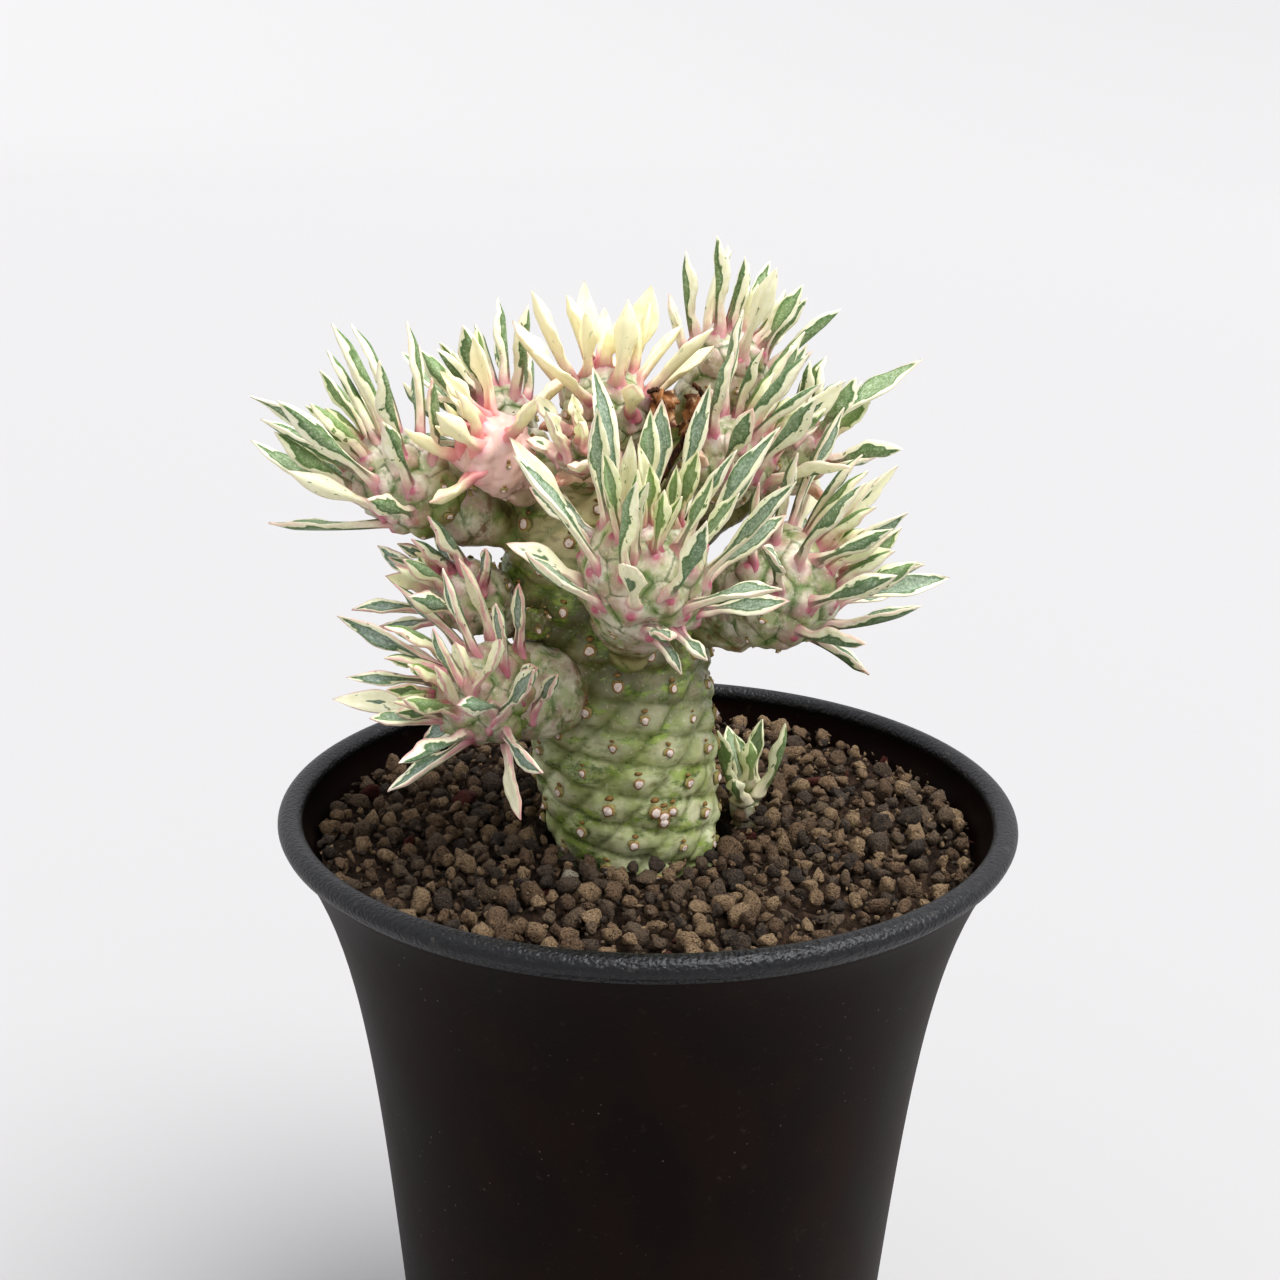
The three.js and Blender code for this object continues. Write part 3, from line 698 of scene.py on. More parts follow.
for branch in (button, stub):
    scar_plan.feed(pattern.socket.node.inputs[0], branch)
faced = scar_plan.node("FunctionNodeAlignRotationToVector", {"axis": "Z"}, {
    "Vector": named(scar_plan, "out", "FLOAT_VECTOR"),
})
faced = scar_plan.node("FunctionNodeAlignRotationToVector", {"axis": "Y", "pivot_axis": "Z"}, {
    "Rotation": faced, "Vector": (0.0, 0.0, 1.0),
})
scars = scar_plan.node("GeometryNodeInstanceOnPoints", {}, {
    "Points": given["Geometry"], "Instance": pattern, "Rotation": faced,
    "Scale": named(scar_plan, "size", "FLOAT_VECTOR"),
})
scars = realized(scar_plan, scars)
ragged = scar_plan.node("GeometryNodeInputNormal") * (1.3 * (scar_plan.noise(here, 1.3, 3.0) - 0.5))
scars = moved(scar_plan, scars, Offset=ragged)
close(scar_plan, scars, given["Finish"])

scar_finish, scar_shader, art = finish_of("corky leaf scar", 0.25)
at = art.place()
out_from = art.attribute("scar", "Fac")
crumbs = art.noise(at, 3.0, 4.0)
scar_colour = art.painted("#e4d6cc", [
    (out_from.between(0.56, 0.68), "#9a6c3e"),
    (out_from.between(0.72, 0.86), "#a39a68"),
    (crumbs.between(0.5, 0.7) * 0.5, "#8a6038"),
    (out_from.between(1.5, 1.6), "#937548"),
])
dress(art, scar_shader, scar_colour, 0.8 + 0.1 * crumbs, crumbs, 0.6, 0.3)


def juicy(weight, reach):
    """The fixed values of flesh that light sinks into, by so many millimetres of red, green and blue."""
    return [("Subsurface Weight", weight), ("Subsurface Radius", reach), ("Subsurface Scale", mm)]


waxy = [("Coat Weight", 0.15), ("Coat Roughness", 0.3)]
bark, bark_shader, art = finish_of("green trunk skin", 0.5, waxy + juicy(0.15, (1.2, 1.4, 0.5)))
at = art.place()
inside = art.attribute("inside", "Fac")
blotch = art.noise(at, 0.16, 4.0)
streak = art.noise(at * (0.8, 0.8, 2.6), 0.42, 5.0, 0.62)
fine = art.noise(at, 2.2, 4.0)
edge = inside + 0.3 * (art.noise(at * (1.0, 1.0, 1.6), 0.55, 3.0) - 0.5)
# Upper is the top of the trunk among the heads: its pale cream is partly the trunk's own tone and partly
# painted light.
upper = at.part("Z").between(147.0, 160.0)
# Middle is the band of the trunk under the heads: its dark olive is painted shade cast by the heads, and
# it holds back the lime and the pale wart crowns there. The side under the left head gets more painted
# shade.
middle = at.part("Z").between(122.0, 143.0)
shaded_side = at.part("X").between(-10.0, -18.0) * at.part("Z").between(128.0, 140.0)
lime = art.noise(at * (1.0, 1.0, 1.8), 0.2, 3.0, 0.5).between(0.46, 0.66)
dark = art.noise(at * (1.0, 1.0, 2.6), 0.4, 3.0, 0.5)
leaf_green = art.noise(at * (0.9, 0.9, 1.7), 0.15, 4.0, 0.6).between(0.53, 0.6)
vivid = art.mix(streak.between(0.42, 0.58), "#4a661a", "#8ea63e")
line = edge.between(0.05, -0.03) * art.noise(at, 0.25, 2.0).between(0.36, 0.52)
bark_colour = art.painted("#a7ae78", [
    (blotch.between(0.38, 0.62), "#cdd1a8"),
    # Painted shade of the heads over the middle band.
    (0.9 * middle * (1.0 - upper), "#443912"),
    (0.35 * art.noise(at, 0.24, 4.0).between(0.48, 0.64), "#b3a58a"),
    # Pale top: partly the trunk's own tone, partly painted light.
    (0.8 * upper, "#cfc193"),
    (0.5 * shaded_side, "#5b5227"),
    (0.45 * lime * (1.0 - 0.6 * middle), "#98a558"),
    (0.5 * streak.between(0.54, 0.66), "#7c9140"),
    (0.45 * dark.between(0.54, 0.68), "#5f5f2c"),
    # Pale crowns of the warts: painted highlight.
    (0.45 * (1.0 - 0.8 * middle) * edge.between(0.25, 0.8), "#d8d9ba"),
    # Darker green next to the creases: painted shade.
    (0.4 * edge.between(0.24, 0.04), "#66753a"),
    (0.85 * leaf_green * (0.55 + 0.45 * fine.between(0.4, 0.6)), vivid),
    (0.55 * line, "#3e441c"),
    # Small pale specks: painted glints.
    (0.35 * fine.between(0.6, 0.72), "#e2e2c8"),
])
dress(art, bark_shader, bark_colour, 0.38 + 0.16 * fine, streak + 0.4 * fine, 0.22, 0.3)


def straight_out(body, at, out):
    """The way that stands upright on a barrel's skin."""
    away = at - body["centre"]
    height = away @ body["axis"]
    across = np.linalg.norm(away - body["axis"] * height)
    p = body["power"]
    level = (across / body["radius"]) ** (p - 1) / body["radius"]
    steep = (abs(height) / body["half"]) ** (p - 1) * math.copysign(1, height) / body["half"]
    return unit(out * level + body["axis"] * steep)


def scars_of(name, body, borne, size, threefold=()):
    """The scars on the warts that bear no leaf now, and threefold ones where a flower stalk stood."""
    beside = [(1.3, 0.6, 1.25), (-1.2, 0.8, 1.15), (0.0, -0.8, 1.15)]
    bare = []
    for i, (at, out) in enumerate(body["points"]):
        height = (at - body["centre"]) @ body["axis"]
        middle = body["centre"] + body["axis"] * height
        if i not in borne:
            bare.append((i, middle + (at - middle) * slimmed(body, height / body["half"]), out, size))
    for place in threefold:
        i, at, out, usual = min(bare, key=lambda point: np.linalg.norm(point[1] - place))
        across = np.cross(sky, out)
        for n, (aside, up, large) in enumerate(beside):
            bare.append((i + 1 + n, at + aside * across + up * sky, out, large * size))
    ways = [straight_out(body, at, out) for i, at, out, usual in bare]
    sizes = [[usual * spread(i, 31, 0.75, 1.25)] * 3 for i, at, out, usual in bare]
    places = [at + way * scar_lift for (i, at, out, usual), way in zip(bare, ways)]
    return grown(name, marked(name, places, {"out": ways, "size": sizes}), scar_plan, {
        "Finish": scar_finish,
    })


bud = {
    "centre": np.array([-15.1, -12.0, 146.4]), "axis": unit(np.array([-0.55, -0.83, 0.1])), "radius": 2.1,
    "half": 2.1, "power": 2.2, "cell": 6.0, "spin": 20.0, "hand": 1,
}
bud["points"] = growth_points(bud)
stem = joined("warty_green_trunk", [
    warty_skin("warty_green_trunk", trunk, (2.1, 0.34, 1.1, 0.0), 7, bark),
    scars_of("scars", trunk, (), 0.85, [np.array([-0.5, -12.5, 120.2])]),
    warty_skin("bud", bud, (1.2, 0.12, 0.3, 0.0), 5, bark),
    scars_of("bud scars", bud, (), 0.4),
])
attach(stem, "root")
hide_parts("trunk")

# The heads: each is a short warty offset with a rosette of spoon leaves at its end. The leaves are
# cream-edged and thick, on pink stalks, and each grows from a wart of the offset.
stalk_thick = 0.72
blade_thick = 0.95

# Where each offset starts and ends over the rim, its body and neck, then the count, sizes and stand of
# its leaves, in mm and degrees, and last how fresh their green, how rosy their edges and how cream they
# are. Slim and aged are about the skin of the body, and blush about both.
heads = [
    dict(name="head_front", stem=(-4, -7, 22), tip=(0.4, -24.5, 45), body=17.5, radius=8.2, neck=4,
         leaves=26, blade=20, wide=3.9, spin=300, open=76, lift=0.5, seed=3, fresh=0.35, edged=0.3),
    dict(name="head_right", stem=(4, -2, 26), tip=(24.4, -8, 37.6), body=17.5, radius=8.2, neck=3.8,
         leaves=22, blade=18, wide=3.8, spin=230, open=80, lift=0.45, seed=8, fresh=0.4, edged=0.45),
    dict(name="head_left", stem=(-10, -2, 35.5), tip=(-39.5, -8, 51), body=18.5, radius=6.2, neck=3,
         leaves=21, blade=19, wide=3.7, spin=280, open=85, lift=0.7, seed=5,
         fresh=0.75, edged=0.2, aged=0.5, slim=0.2),
    dict(name="head_pink", stem=(-16, -7, 46.5), tip=(-23.3, -12.5, 55.5), body=10.5, radius=5, neck=2.3,
         leaves=10, blade=12, wide=3.4, spin=230, open=97, lift=0.15, seed=0,
         fresh=0.8, edged=0.3, cream=1.0, blush=2.0),
    dict(name="head_low_left", stem=(-4, -4, 18.5), tip=(-27.5, -19.5, 22), body=18, radius=6.8, neck=4.2,
         leaves=22, blade=16, wide=3.6, spin=240, open=85, lift=0.45, seed=3,
         fresh=0, edged=0.9, aged=0.6, slim=0.5),
    dict(name="head_low_behind", stem=(-10, -1, 24.5), tip=(-29, -9, 34.5), body=12, radius=5.1, neck=2.6,
         leaves=12, blade=11.5, wide=3.3, spin=270, open=70, lift=0.3, seed=8,
         fresh=0, edged=0.9, aged=0.3),
    dict(name="head_top_front", stem=(-1, -2, 40), tip=(14.3, -6.5, 54.5), body=12.5, radius=5.8, neck=3,
         leaves=15, blade=16, wide=3.8, spin=160, open=78, lift=0.75, seed=3, fresh=0.5, edged=0.3),
    dict(name="head_cream", stem=(-8, -1, 42), tip=(-5.5, -3.5, 62.5), body=12.5, radius=6.4, neck=3.4,
         leaves=14, blade=15, wide=4.5, spin=50, open=92, lift=0.5, seed=3,
         fresh=0.8, edged=0.0, cream=0.85, blush=0.9),
    dict(name="head_top", stem=(-2, 3, 42), tip=(12.8, 8, 66), body=12.5, radius=6, neck=3,
         leaves=17, blade=15, wide=3.6, spin=190, open=72, lift=0.6, seed=8, fresh=1, edged=0.15),
    dict(name="head_top_right", stem=(2, 1, 36), tip=(22.5, 3.5, 53.5), body=11.5, radius=5, neck=2.8,
         leaves=12, blade=14, wide=4, spin=310, open=72, lift=0.55, seed=5, fresh=0.9, edged=0.1,
         long_leaves=[(36.5, 4, 63.3, 5, 16)]),
    dict(name="head_back_left", stem=(-12, 3, 40), tip=(-25, 8, 57), body=11, radius=5.6, neck=3,
         leaves=14, blade=14, wide=3.6, spin=110, open=72, lift=0.6, seed=0, fresh=0.9, edged=0.1),
    dict(name="rosette_small", stem=(-9, -5, 44), tip=(-9.5, -15, 55), body=6.5, radius=3, neck=1.8,
         leaves=8, blade=8.5, wide=3, spin=130, open=85, lift=0.5, seed=5,
         fresh=0.7, edged=0.6, cream=0.25),
    dict(name="soil_plantlet", stem=(14.4, 5.6, -16), tip=(14.8, 6, 1), body=7, radius=2.3, neck=1.5,
         leaves=6, blade=12, wide=3.9, spin=100, open=60, lift=0.2, seed=6,
         fresh=0.15, edged=0.0, blush=0.15, tender=0.6),
]
for rank, head in enumerate(heads):
    head["young"] = min(9, head["leaves"] // 2)
    head["key"] = 100 * rank + 1000 * head["seed"]
    head["start"] = np.array(head["stem"], float) + sky * rim_plane
    head["end"] = np.array(head["tip"], float) + sky * rim_plane
    head["axis"] = unit(head["end"] - head["start"])
    head["half"] = head["body"] / 2
    head["power"] = 2.2
    head["hand"] = 1
    head["cell"] = 2.9 * head["radius"]
    head["centre"] = head["end"] - head["axis"] * head["half"]
    head["points"] = growth_points(head)


def leaf_of(head, i, turn, tip, scale):
    """The i-th leaf of a head, from the tip down: its place, directions, sizes and curl."""
    key = head["key"] + i
    age = i / (head["leaves"] - 1)
    at, out = head["points"][i]
    side, other = sideways(head["axis"])
    spin = math.atan2(out @ other, out @ side) + math.radians(spread(key, 1, -7, 7) + turn)
    away = side * math.cos(spin) + other * math.sin(spin)
    polar = math.radians(14 + (head["open"] - 14) * age ** 0.8 + spread(key, 2, -8, 8) + tip)
    along = unit(head["axis"] * math.cos(polar) + away * math.sin(polar) + sky * head["lift"])
    face = head["axis"] - along * (head["axis"] @ along)
    if np.linalg.norm(face) < 0.15:
        face = along * (away @ along) - away
    face = unit(face)
    size = min(1, 0.42 + 0.75 * (i + 0.5) / (head["leaves"] * 0.4))
    length = head["blade"] * size * (1 - 0.35 * age ** 3) * spread(key, 3, 0.86, 1.14) * scale
    wide = head["wide"] * min(1, 0.55 + 0.6 * size) * spread(key, 4, 0.85, 1.12) * (0.5 + 0.5 * scale)
    return {
        "root": at + (head["centre"] - at) * 0.14, "along": along, "face": face, "length": length,
        "wide": wide, "bend": math.radians(18 - 22 * age + spread(key, 5, -26, 26)),
        "twist": math.radians(spread(key, 6, -32, 32)),
        "fold": spread(key, 7, 0.18, 0.5) * (1.25 - 0.5 * age), "wave": spread(key, 8, 0.12, 0.38),
        "phase": spread(key, 9, 0, 6.28), "age": age, "key": key, "wart": i, "bare": 0.0,
    }


def leaf_between(head, wart, root, end, wide, bend_degrees):
    """A leaf from one place to another, bowed towards the tip of its head."""
    chord = end - root
    reach = np.linalg.norm(chord)
    chord = chord / reach
    inward = unit(head["axis"] - chord * (head["axis"] @ chord))
    half = math.radians(bend_degrees) / 2
    return {
        "root": root, "along": chord * math.cos(half) - inward * math.sin(half),
        "face": inward * math.cos(half) + chord * math.sin(half), "length": reach * half / math.sin(half),
        "wide": wide, "bend": 2 * half, "twist": 0.3, "fold": 0.3, "wave": 0.2, "phase": 1.0, "age": 0.7,
        "key": head["key"] + 77, "wart": wart, "bare": 0.3,
    }


def long_leaf_of(head, x, y, z, wide, bend_degrees):
    """A leaf that stands out, from the growth point nearest to its tip."""
    end = np.array([x, y, z + rim_plane])
    old = [i for i in range(len(head["points"])) if i > head["leaves"] * 0.6]
    wart = min(old, key=lambda i: np.linalg.norm(head["points"][i][0] - end))
    at = head["points"][wart][0]
    return leaf_between(head, wart, at + (head["centre"] - at) * 0.14, end, wide, bend_degrees)


def half_width(leaf, s):
    blade = leaf["wide"] / 2 * np.maximum(np.sin(np.pi * s ** 1.6), 0) ** 0.8
    return np.maximum(blade, stalk_thick / 2 * np.minimum(1, 6 * (1 - s)))


def leaf_beads(leaf):
    """Small balls that fill a leaf, to keep the leaves clear of each other: places, radii, stations."""
    s = np.repeat(np.arange(1, 11) / 10, 3)
    c = np.tile([-0.66, 0.0, 0.66], 10)
    bend = leaf["bend"] if abs(leaf["bend"]) > 1e-3 else 1e-3
    s1, c1 = s[:, None], c[:, None]
    along, face = leaf["along"], leaf["face"]
    across = np.cross(along, face)
    rib = leaf["root"] + along * leaf["length"] * np.sin(bend * s1) / bend
    rib = rib + face * leaf["length"] * (1 - np.cos(bend * s1)) / bend
    flat = face * np.cos(bend * s1) - along * np.sin(bend * s1)
    turn = leaf["twist"] * s1
    wide = across * np.cos(turn) + flat * np.sin(turn)
    flat = flat * np.cos(turn) - across * np.sin(turn)
    reach = half_width(leaf, s1) * np.abs(c1)
    wave = leaf["wave"] * np.sin(15 * s1 + leaf["phase"] + c1) * np.minimum(1, reach) * np.abs(c1)
    at = rib + wide * np.sign(c1) * reach * math.cos(leaf["fold"])
    at = at + flat * (reach * math.sin(leaf["fold"]) + wave)
    return at, 0.45 + 0.25 * half_width(leaf, s), s


def outside_barrel(body, at):
    away = at - body["centre"]
    height = away @ body["axis"]
    far = np.linalg.norm(away, axis=1)
    reach = np.sqrt(np.maximum(0, far ** 2 - height ** 2))
    high = np.abs(height) / body["half"]
    wide = reach / body["radius"] / (1 + body.get("taper", 0) * height / body["half"])
    size = (high ** body["power"] + wide ** body["power"]) ** (1 / body["power"])
    return far * (1 - 1 / np.maximum(size, 1e-6))


def outside_neck(head, at):
    line = head["centre"] - head["start"]
    f = np.clip((at - head["start"]) @ line / (line @ line), 0, 1)
    return np.linalg.norm(at - head["start"] - f[:, None] * line, axis=1) - 1.1 * head["neck"]


def is_clear(beads, head):
    """Whether a leaf keeps off the soil, the trunk, the other heads and the leaves placed before it."""
    at, radius, s = beads
    rooted = (s < 0.35) & (head["name"] == "soil_plantlet")
    ground = np.where(np.hypot(at[:, 0], at[:, 1]) > 45.5, rim_plane + 2.4, soil_level + 2)
    if np.any((at[:, 2] < ground + radius) & ~rooted):
        return False
    if np.any(outside_barrel(trunk, at) < radius + 0.5):
        return False
    for other in heads:
        gap, own = (-0.4, s >= 0.35) if other is head else (0.5, s >= 0)
        near = np.minimum(outside_barrel(other, at), outside_neck(other, at)) < radius + gap
        if np.any(near & own):
            return False
    for owner, (rest_at, rest_radius, rest_s) in placed:
        same = owner is head
        if np.linalg.norm(rest_at[15] - at[15]) > 45:
            continue
        reach = (radius[:, None] + rest_radius) * (0.7 if same else 1) + (0 if same else 0.15)
        gaps = np.linalg.norm(at[:, None] - rest_at, axis=2)
        counted = (s[:, None] >= 0.3) & (rest_s >= 0.3) if same else np.ones_like(gaps, bool)
        if np.any((gaps < reach) & counted):
            return False
    return True


def through(points, count):
    """Points on a smooth curve through the given ones."""
    points = [np.array(p, float) + sky * rim_plane for p in points]
    last = len(points) - 1
    line = []
    for n in range(count + 1):
        place = n / count * last
        k = min(int(place), last - 1)
        w = place - k
        b, c = points[k], points[k + 1]
        a = points[k - 1] if k > 0 else 2 * b - c
        d = points[k + 2] if k + 2 <= last else 2 * c - b
        ab, bc, cd = (math.sqrt(np.linalg.norm(q - p)) for p, q in ((a, b), (b, c), (c, d)))
        leave = ((b - a) / ab - (c - a) / (ab + bc) + (c - b) / bc) * bc
        arrive = ((c - b) / bc - (d - b) / (bc + cd) + (d - c) / cd) * bc
        line.append(b + leave * w + (3 * (c - b) - 2 * leave - arrive) * w * w
                    + (2 * (b - c) + leave + arrive) * w ** 3)
    return np.array(line)


stalk_lines = [
    [(-0.8, -8, 46), (0.4, -7.5, 52), (1.2, -7, 57), (0.4, -7.4, 60.2), (-0.9, -8, 60)],
    [(-0.8, -8, 46), (2.5, -6.8, 51), (5.2, -5.6, 56), (6.2, -5.8, 59.6), (5, -6.4, 61)],
]
# A leaf is turned and tipped by these degrees, and scaled, until it keeps clear of everything.
tries = [
    (0, 0, 1), (12, 0, 1), (-12, 0, 1), (0, -12, 1), (0, 12, 1), (20, -10, 0.95), (-20, -10, 0.95),
    (28, 8, 0.9), (-28, 8, 0.9), (0, -22, 0.85), (0, 20, 0.85), (36, -16, 0.8), (-36, -16, 0.8),
]
stalk_beads = np.concatenate([through(line, 16) for line in stalk_lines])
placed = [(None, (stalk_beads, np.full(len(stalk_beads), 0.9), np.ones(len(stalk_beads))))]


def put_first(head, leaves):
    """Gives a head the first of these leaves that keeps clear of what is placed."""
    for leaf in leaves:
        beads = leaf_beads(leaf)
        if is_clear(beads, head):
            placed.append((head, beads))
            head["blades"].append(leaf)
            return


for head in heads:
    head["blades"] = [long_leaf_of(head, *row) for row in head.get("long_leaves", [])]
    placed += [(head, leaf_beads(leaf)) for leaf in head["blades"]]
for head in heads:
    for i in range(head["leaves"]):
        put_first(head, (leaf_of(head, i, *change) for change in tries))
# Two leaves at the front stand flatter than the rule makes them.
for leaf in heads[0]["blades"]:
    if leaf["wart"] in (14, 22):
        leaf["twist"] *= 0.3
        leaf["fold"] = 0.2

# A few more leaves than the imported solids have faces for: each has its root, tip, width and bow.
outer_leaves = {
    "head_low_left": [
        ((-21.2, -20.8, 18.3), (-13.9, -30.0, 29.9), 4.3, 26),
        ((-15.3, -18.6, 18.9), (-11.7, -24.5, 26.7), 3.1, 18),
        ((-23.6, -22.5, 23.8), (-18.1, -33.0, 33.8), 3.5, 34),
    ],
    "head_front": [
        ((2.6, -23.2, 32.5), (6.9, -27.5, 29.6), 2.7, 20),
        ((0.2, -22.0, 30.6), (3.8, -25.0, 27.1), 2.1, -18),
    ],
}


def outer_leaf(head, rank, push):
    """One of the outer leaves of a head, with its tip pushed forward so far."""
    root, end, wide, bend = outer_leaves[head["name"]][rank]
    root = np.array(root) + sky * rim_plane
    end = np.array(end) + sky * rim_plane
    end[1] -= push
    leaf = leaf_between(head, -1, root + (head["centre"] - root) * 0.1, end, wide, bend)
    return {**leaf, "bare": 0.12, "key": leaf["key"] + rank, "phase": 2.0 * rank}


for head in heads:
    for rank in range(len(outer_leaves.get(head["name"], []))):
        put_first(head, (outer_leaf(head, rank, push) for push in (0, 1.2, 2.4, -1.2)))

# Where a full leaf has no room, a small one stands.
for head in heads:
    for i in sorted(set(range(head["leaves"])) - {leaf["wart"] for leaf in head["blades"]}):
        put_first(head, (leaf_of(head, i, turn, tip, 0.55 * scale) for turn, tip, scale in tries))


def young_leaf(head, i, turn, tip):
    """A leaf from the heart of a head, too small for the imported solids."""
    leaf = leaf_of(head, i, turn, tip, 0.8)
    root = leaf["root"] + (head["end"] - leaf["root"]) * 0.3
    return {**leaf, "root": root, "wide": leaf["wide"] * 0.75, "key": leaf["key"] + 50, "wart": -1}


def withered_leaf(head, i, turn, tip):
    """A leaf that has dried up under a crowded head: short, curled and brown at its tip."""
    leaf = leaf_of(head, i, turn, tip, 0.3)
    key = leaf["key"]
    return {**leaf, "length": spread(key, 51, 3.2, 5.4), "wide": spread(key, 52, 1.3, 2.0),
            "bend": spread(key, 53, -1.5, 1.5), "age": 1.1}


young_turns = [(62, -6), (-62, -6), (95, 4), (-95, 4), (130, -10), (-130, -10), (30, -14), (-30, -14)]
for head in heads:
    for i in range(head["young"]):
        put_first(head, (young_leaf(head, i, *change) for change in young_turns))
withered_turns = [(0, 0), (25, -20), (-25, 20), (0, -40)]
withered_count = {"head_cream": 14, "head_top_front": 10, "rosette_small": 6, "head_top_right": 4}
for head in heads:
    last = min(head["leaves"] + withered_count.get(head["name"], 0), len(head["points"]))
    for i in range(head["leaves"], last):
        put_first(head, (withered_leaf(head, i, *change) for change in withered_turns))

# One leaf is a flattened tube, drawn out along its rib, folded, bent, twisted and waved.
leaf_plan, given = plan("spoon leaves", {"Rings": "Int", "Sides": "Int", "Finish": "Material"})
tube = leaf_plan.node("GeometryNodeMeshCylinder", {"fill_type": "NGON"}, {
    "Vertices": given["Sides"], "Side Segments": given["Rings"], "Radius": 1.0, "Depth": 1.0,
}, "Mesh")
here = position(leaf_plan)
tube = kept(leaf_plan, tube, "tube", here + (0.0, 0.0, 0.5), "FLOAT_VECTOR")
leaves = leaf_plan.node("GeometryNodeInstanceOnPoints", {}, {
    "Points": given["Geometry"], "Instance": tube,
})
leaves = realized(leaf_plan, leaves)
mark = {name: named(leaf_plan, name) for name in (
    "length", "wide", "bend", "twist", "fold", "wave", "phase", "age", "own", "bare",
)}
root, along, face = (named(leaf_plan, name, "FLOAT_VECTOR") for name in ("root", "along", "face"))
tube_at = named(leaf_plan, "tube", "FLOAT_VECTOR")
c, side, s = tube_at.part("X"), tube_at.part("Y"), tube_at.part("Z")
arc = mark["bend"] * s
hook = s.between(0.8, 1.0) * (mark["own"] - 0.35) * 0.6
rib = root + along * (mark["length"] * arc.sine() / mark["bend"])
rib = rib + face * (mark["length"] * (1.0 - arc.cosine()) / mark["bend"] + hook)
across = along.cross(face)
flat = face * arc.cosine() - along * arc.sine()
turn = 0.8 * mark["twist"] * s
wide_way = across * turn.cosine() + flat * turn.sine()
flat = flat * turn.cosine() - across * turn.sine()
pointed = 1.0 - (2.5 * (s - 0.6).most(0.0)) ** 1.7
outline = mark["wide"] * 0.48 * s.between(mark["bare"], 0.7) ** 1.4 * pointed
nibbled = 1.0 + 0.035 * (s * 21.0 + mark["phase"] * 3.0 + c * 2.0).sine() * abs(c)
foot = (s * mark["length"] * -0.42).exp()
petiole = 0.42 * (5.0 * (1.0 - s)).least(1.0) + 1.5 * foot
half = outline.most(petiole) * nibbled
reach = half * abs(c)
ripple = 0.65 * mark["wave"] * (s * 13.0 + mark["phase"] + c).sine() * reach.least(1.0) * abs(c)
crimp = 0.06 * (s * 37.0 + mark["phase"] * 2.0 + c * 1.4).sine() * reach.least(1.0) * abs(c)
thick = stalk_thick + (blade_thick - stalk_thick) * (2.0 * s).least(1.0) + 1.2 * foot
thick = thick * (4.0 * (1.0 - s) + 0.16).least(1.0)
groove = 0.13 * (c * c * -22.0).exp() * s.between(0.05, 0.3) * s.between(1.0, 0.8)
rolled = 0.16 * ((1.0 - abs(c)) * -6.0).exp() * s.between(0.2, 0.45)
lift = side * thick * 0.5 - groove + rolled
folded = mark["fold"] * (1.6 - 0.7 * s) * s.between(0.0, 0.2)
shape = rib + wide_way * (half * c * folded.cosine())
shape = shape + flat * (reach * folded.sine() + ripple + crimp + lift)
on_leaf = leaf_plan.vector(c, s, mark["own"])
leaf_size = leaf_plan.vector(half, mark["length"], mark["age"])
leaves = kept(leaf_plan, leaves, "on_leaf", on_leaf, "FLOAT_VECTOR")
leaves = kept(leaf_plan, leaves, "leaf_size", leaf_size, "FLOAT_VECTOR")
leaves = kept(leaf_plan, leaves, "back", side * -0.5 + 0.5)
leaves = moved(leaf_plan, leaves, Position=shape)
close(leaf_plan, leaves, given["Finish"])

blade, blade_shader, art = finish_of("variegated leaf", 0.45, juicy(0.12, (1.4, 1.5, 0.6)))
on_leaf, leaf_size, leaf_tint = (art.attribute(name) for name in ("on_leaf", "leaf_size", "leaf_tint"))
c, s, own = (on_leaf.part(axis) for axis in "XYZ")
half, length, age = (leaf_size.part(axis) for axis in "XYZ")
cream, blush, young = (leaf_tint.part(axis) for axis in "XYZ")
leaf_kind = art.attribute("leaf_kind")
fresh, edged = leaf_kind.part("X"), leaf_kind.part("Y")
back = art.attribute("back", "Fac").between(0.4, 0.6)
flat = art.vector(c * half, s * length * 0.42, own * 60.0 + back * 7.0)
margin = half * (1.0 - abs(c))
wander = art.noise(flat, 0.8, 2.0, 0.5)
lean = (own * 43.0).sine() * c * 0.9
wavy = 1.9 * (wander - 0.5) + 0.35 * (own - 0.5) + 0.08 * back + lean * half * 0.35
border = (0.6 - 0.12 * fresh + wavy).most(0.16).least(half * 0.62) + cream * 3.4
islands = art.noise(flat, 1.5, 2.0).between(0.66, 0.7) * s.between(0.25, 0.4) * (1.0 - 0.75 * cream)
green = margin.between(border - 0.07, border + 0.07).most(islands)
green = green * s.between(0.06, 0.2) * s.between(0.98, 0.93)
stipple = art.noise(flat * (1.0, 2.0, 1.0), 3.4, 3.0, 0.7)
mottle = art.noise(flat, 2.2, 4.0, 0.65)
streaks = art.noise(flat * (2.6, 0.3, 1.0), 1.0, 3.0)
grey_green = art.mix(mottle.between(0.3, 0.7), "#7d9086", "#a9b8ac")
fresh_green = art.mix(mottle.between(0.3, 0.7), "#7d9560", "#aabb90")
dark_edge = margin.between(border + 0.5, border + 0.1)
granules = stipple.between(0.5, 0.6) * (0.32 + 0.45 * dark_edge)
green_colour = art.painted(grey_green, [
    (fresh, fresh_green),
    (0.45 * back, "#6d8a52"),
    (granules, "#48634c"),
    (0.5 * stipple.between(0.46, 0.38), "#cdd6c8"),
    (0.62 * dark_edge, "#4a6b36"),
    (0.25 * streaks.between(0.5, 0.7), "#5b7a4c"),
    (0.55 * young, "#93ab52"),
])
cream_colour = art.painted("#ebeac8", [
    (mottle.between(0.35, 0.7), "#f8f7e0"),
    (0.5 * young, "#e6ecae"),
    (0.75 * cream, "#fbf1c4"),
    (0.2 * streaks.between(0.55, 0.75), "#b9c48c"),
])
rosy = blush.least(1.0) * (0.55 + 0.45 * own)
up = s * length
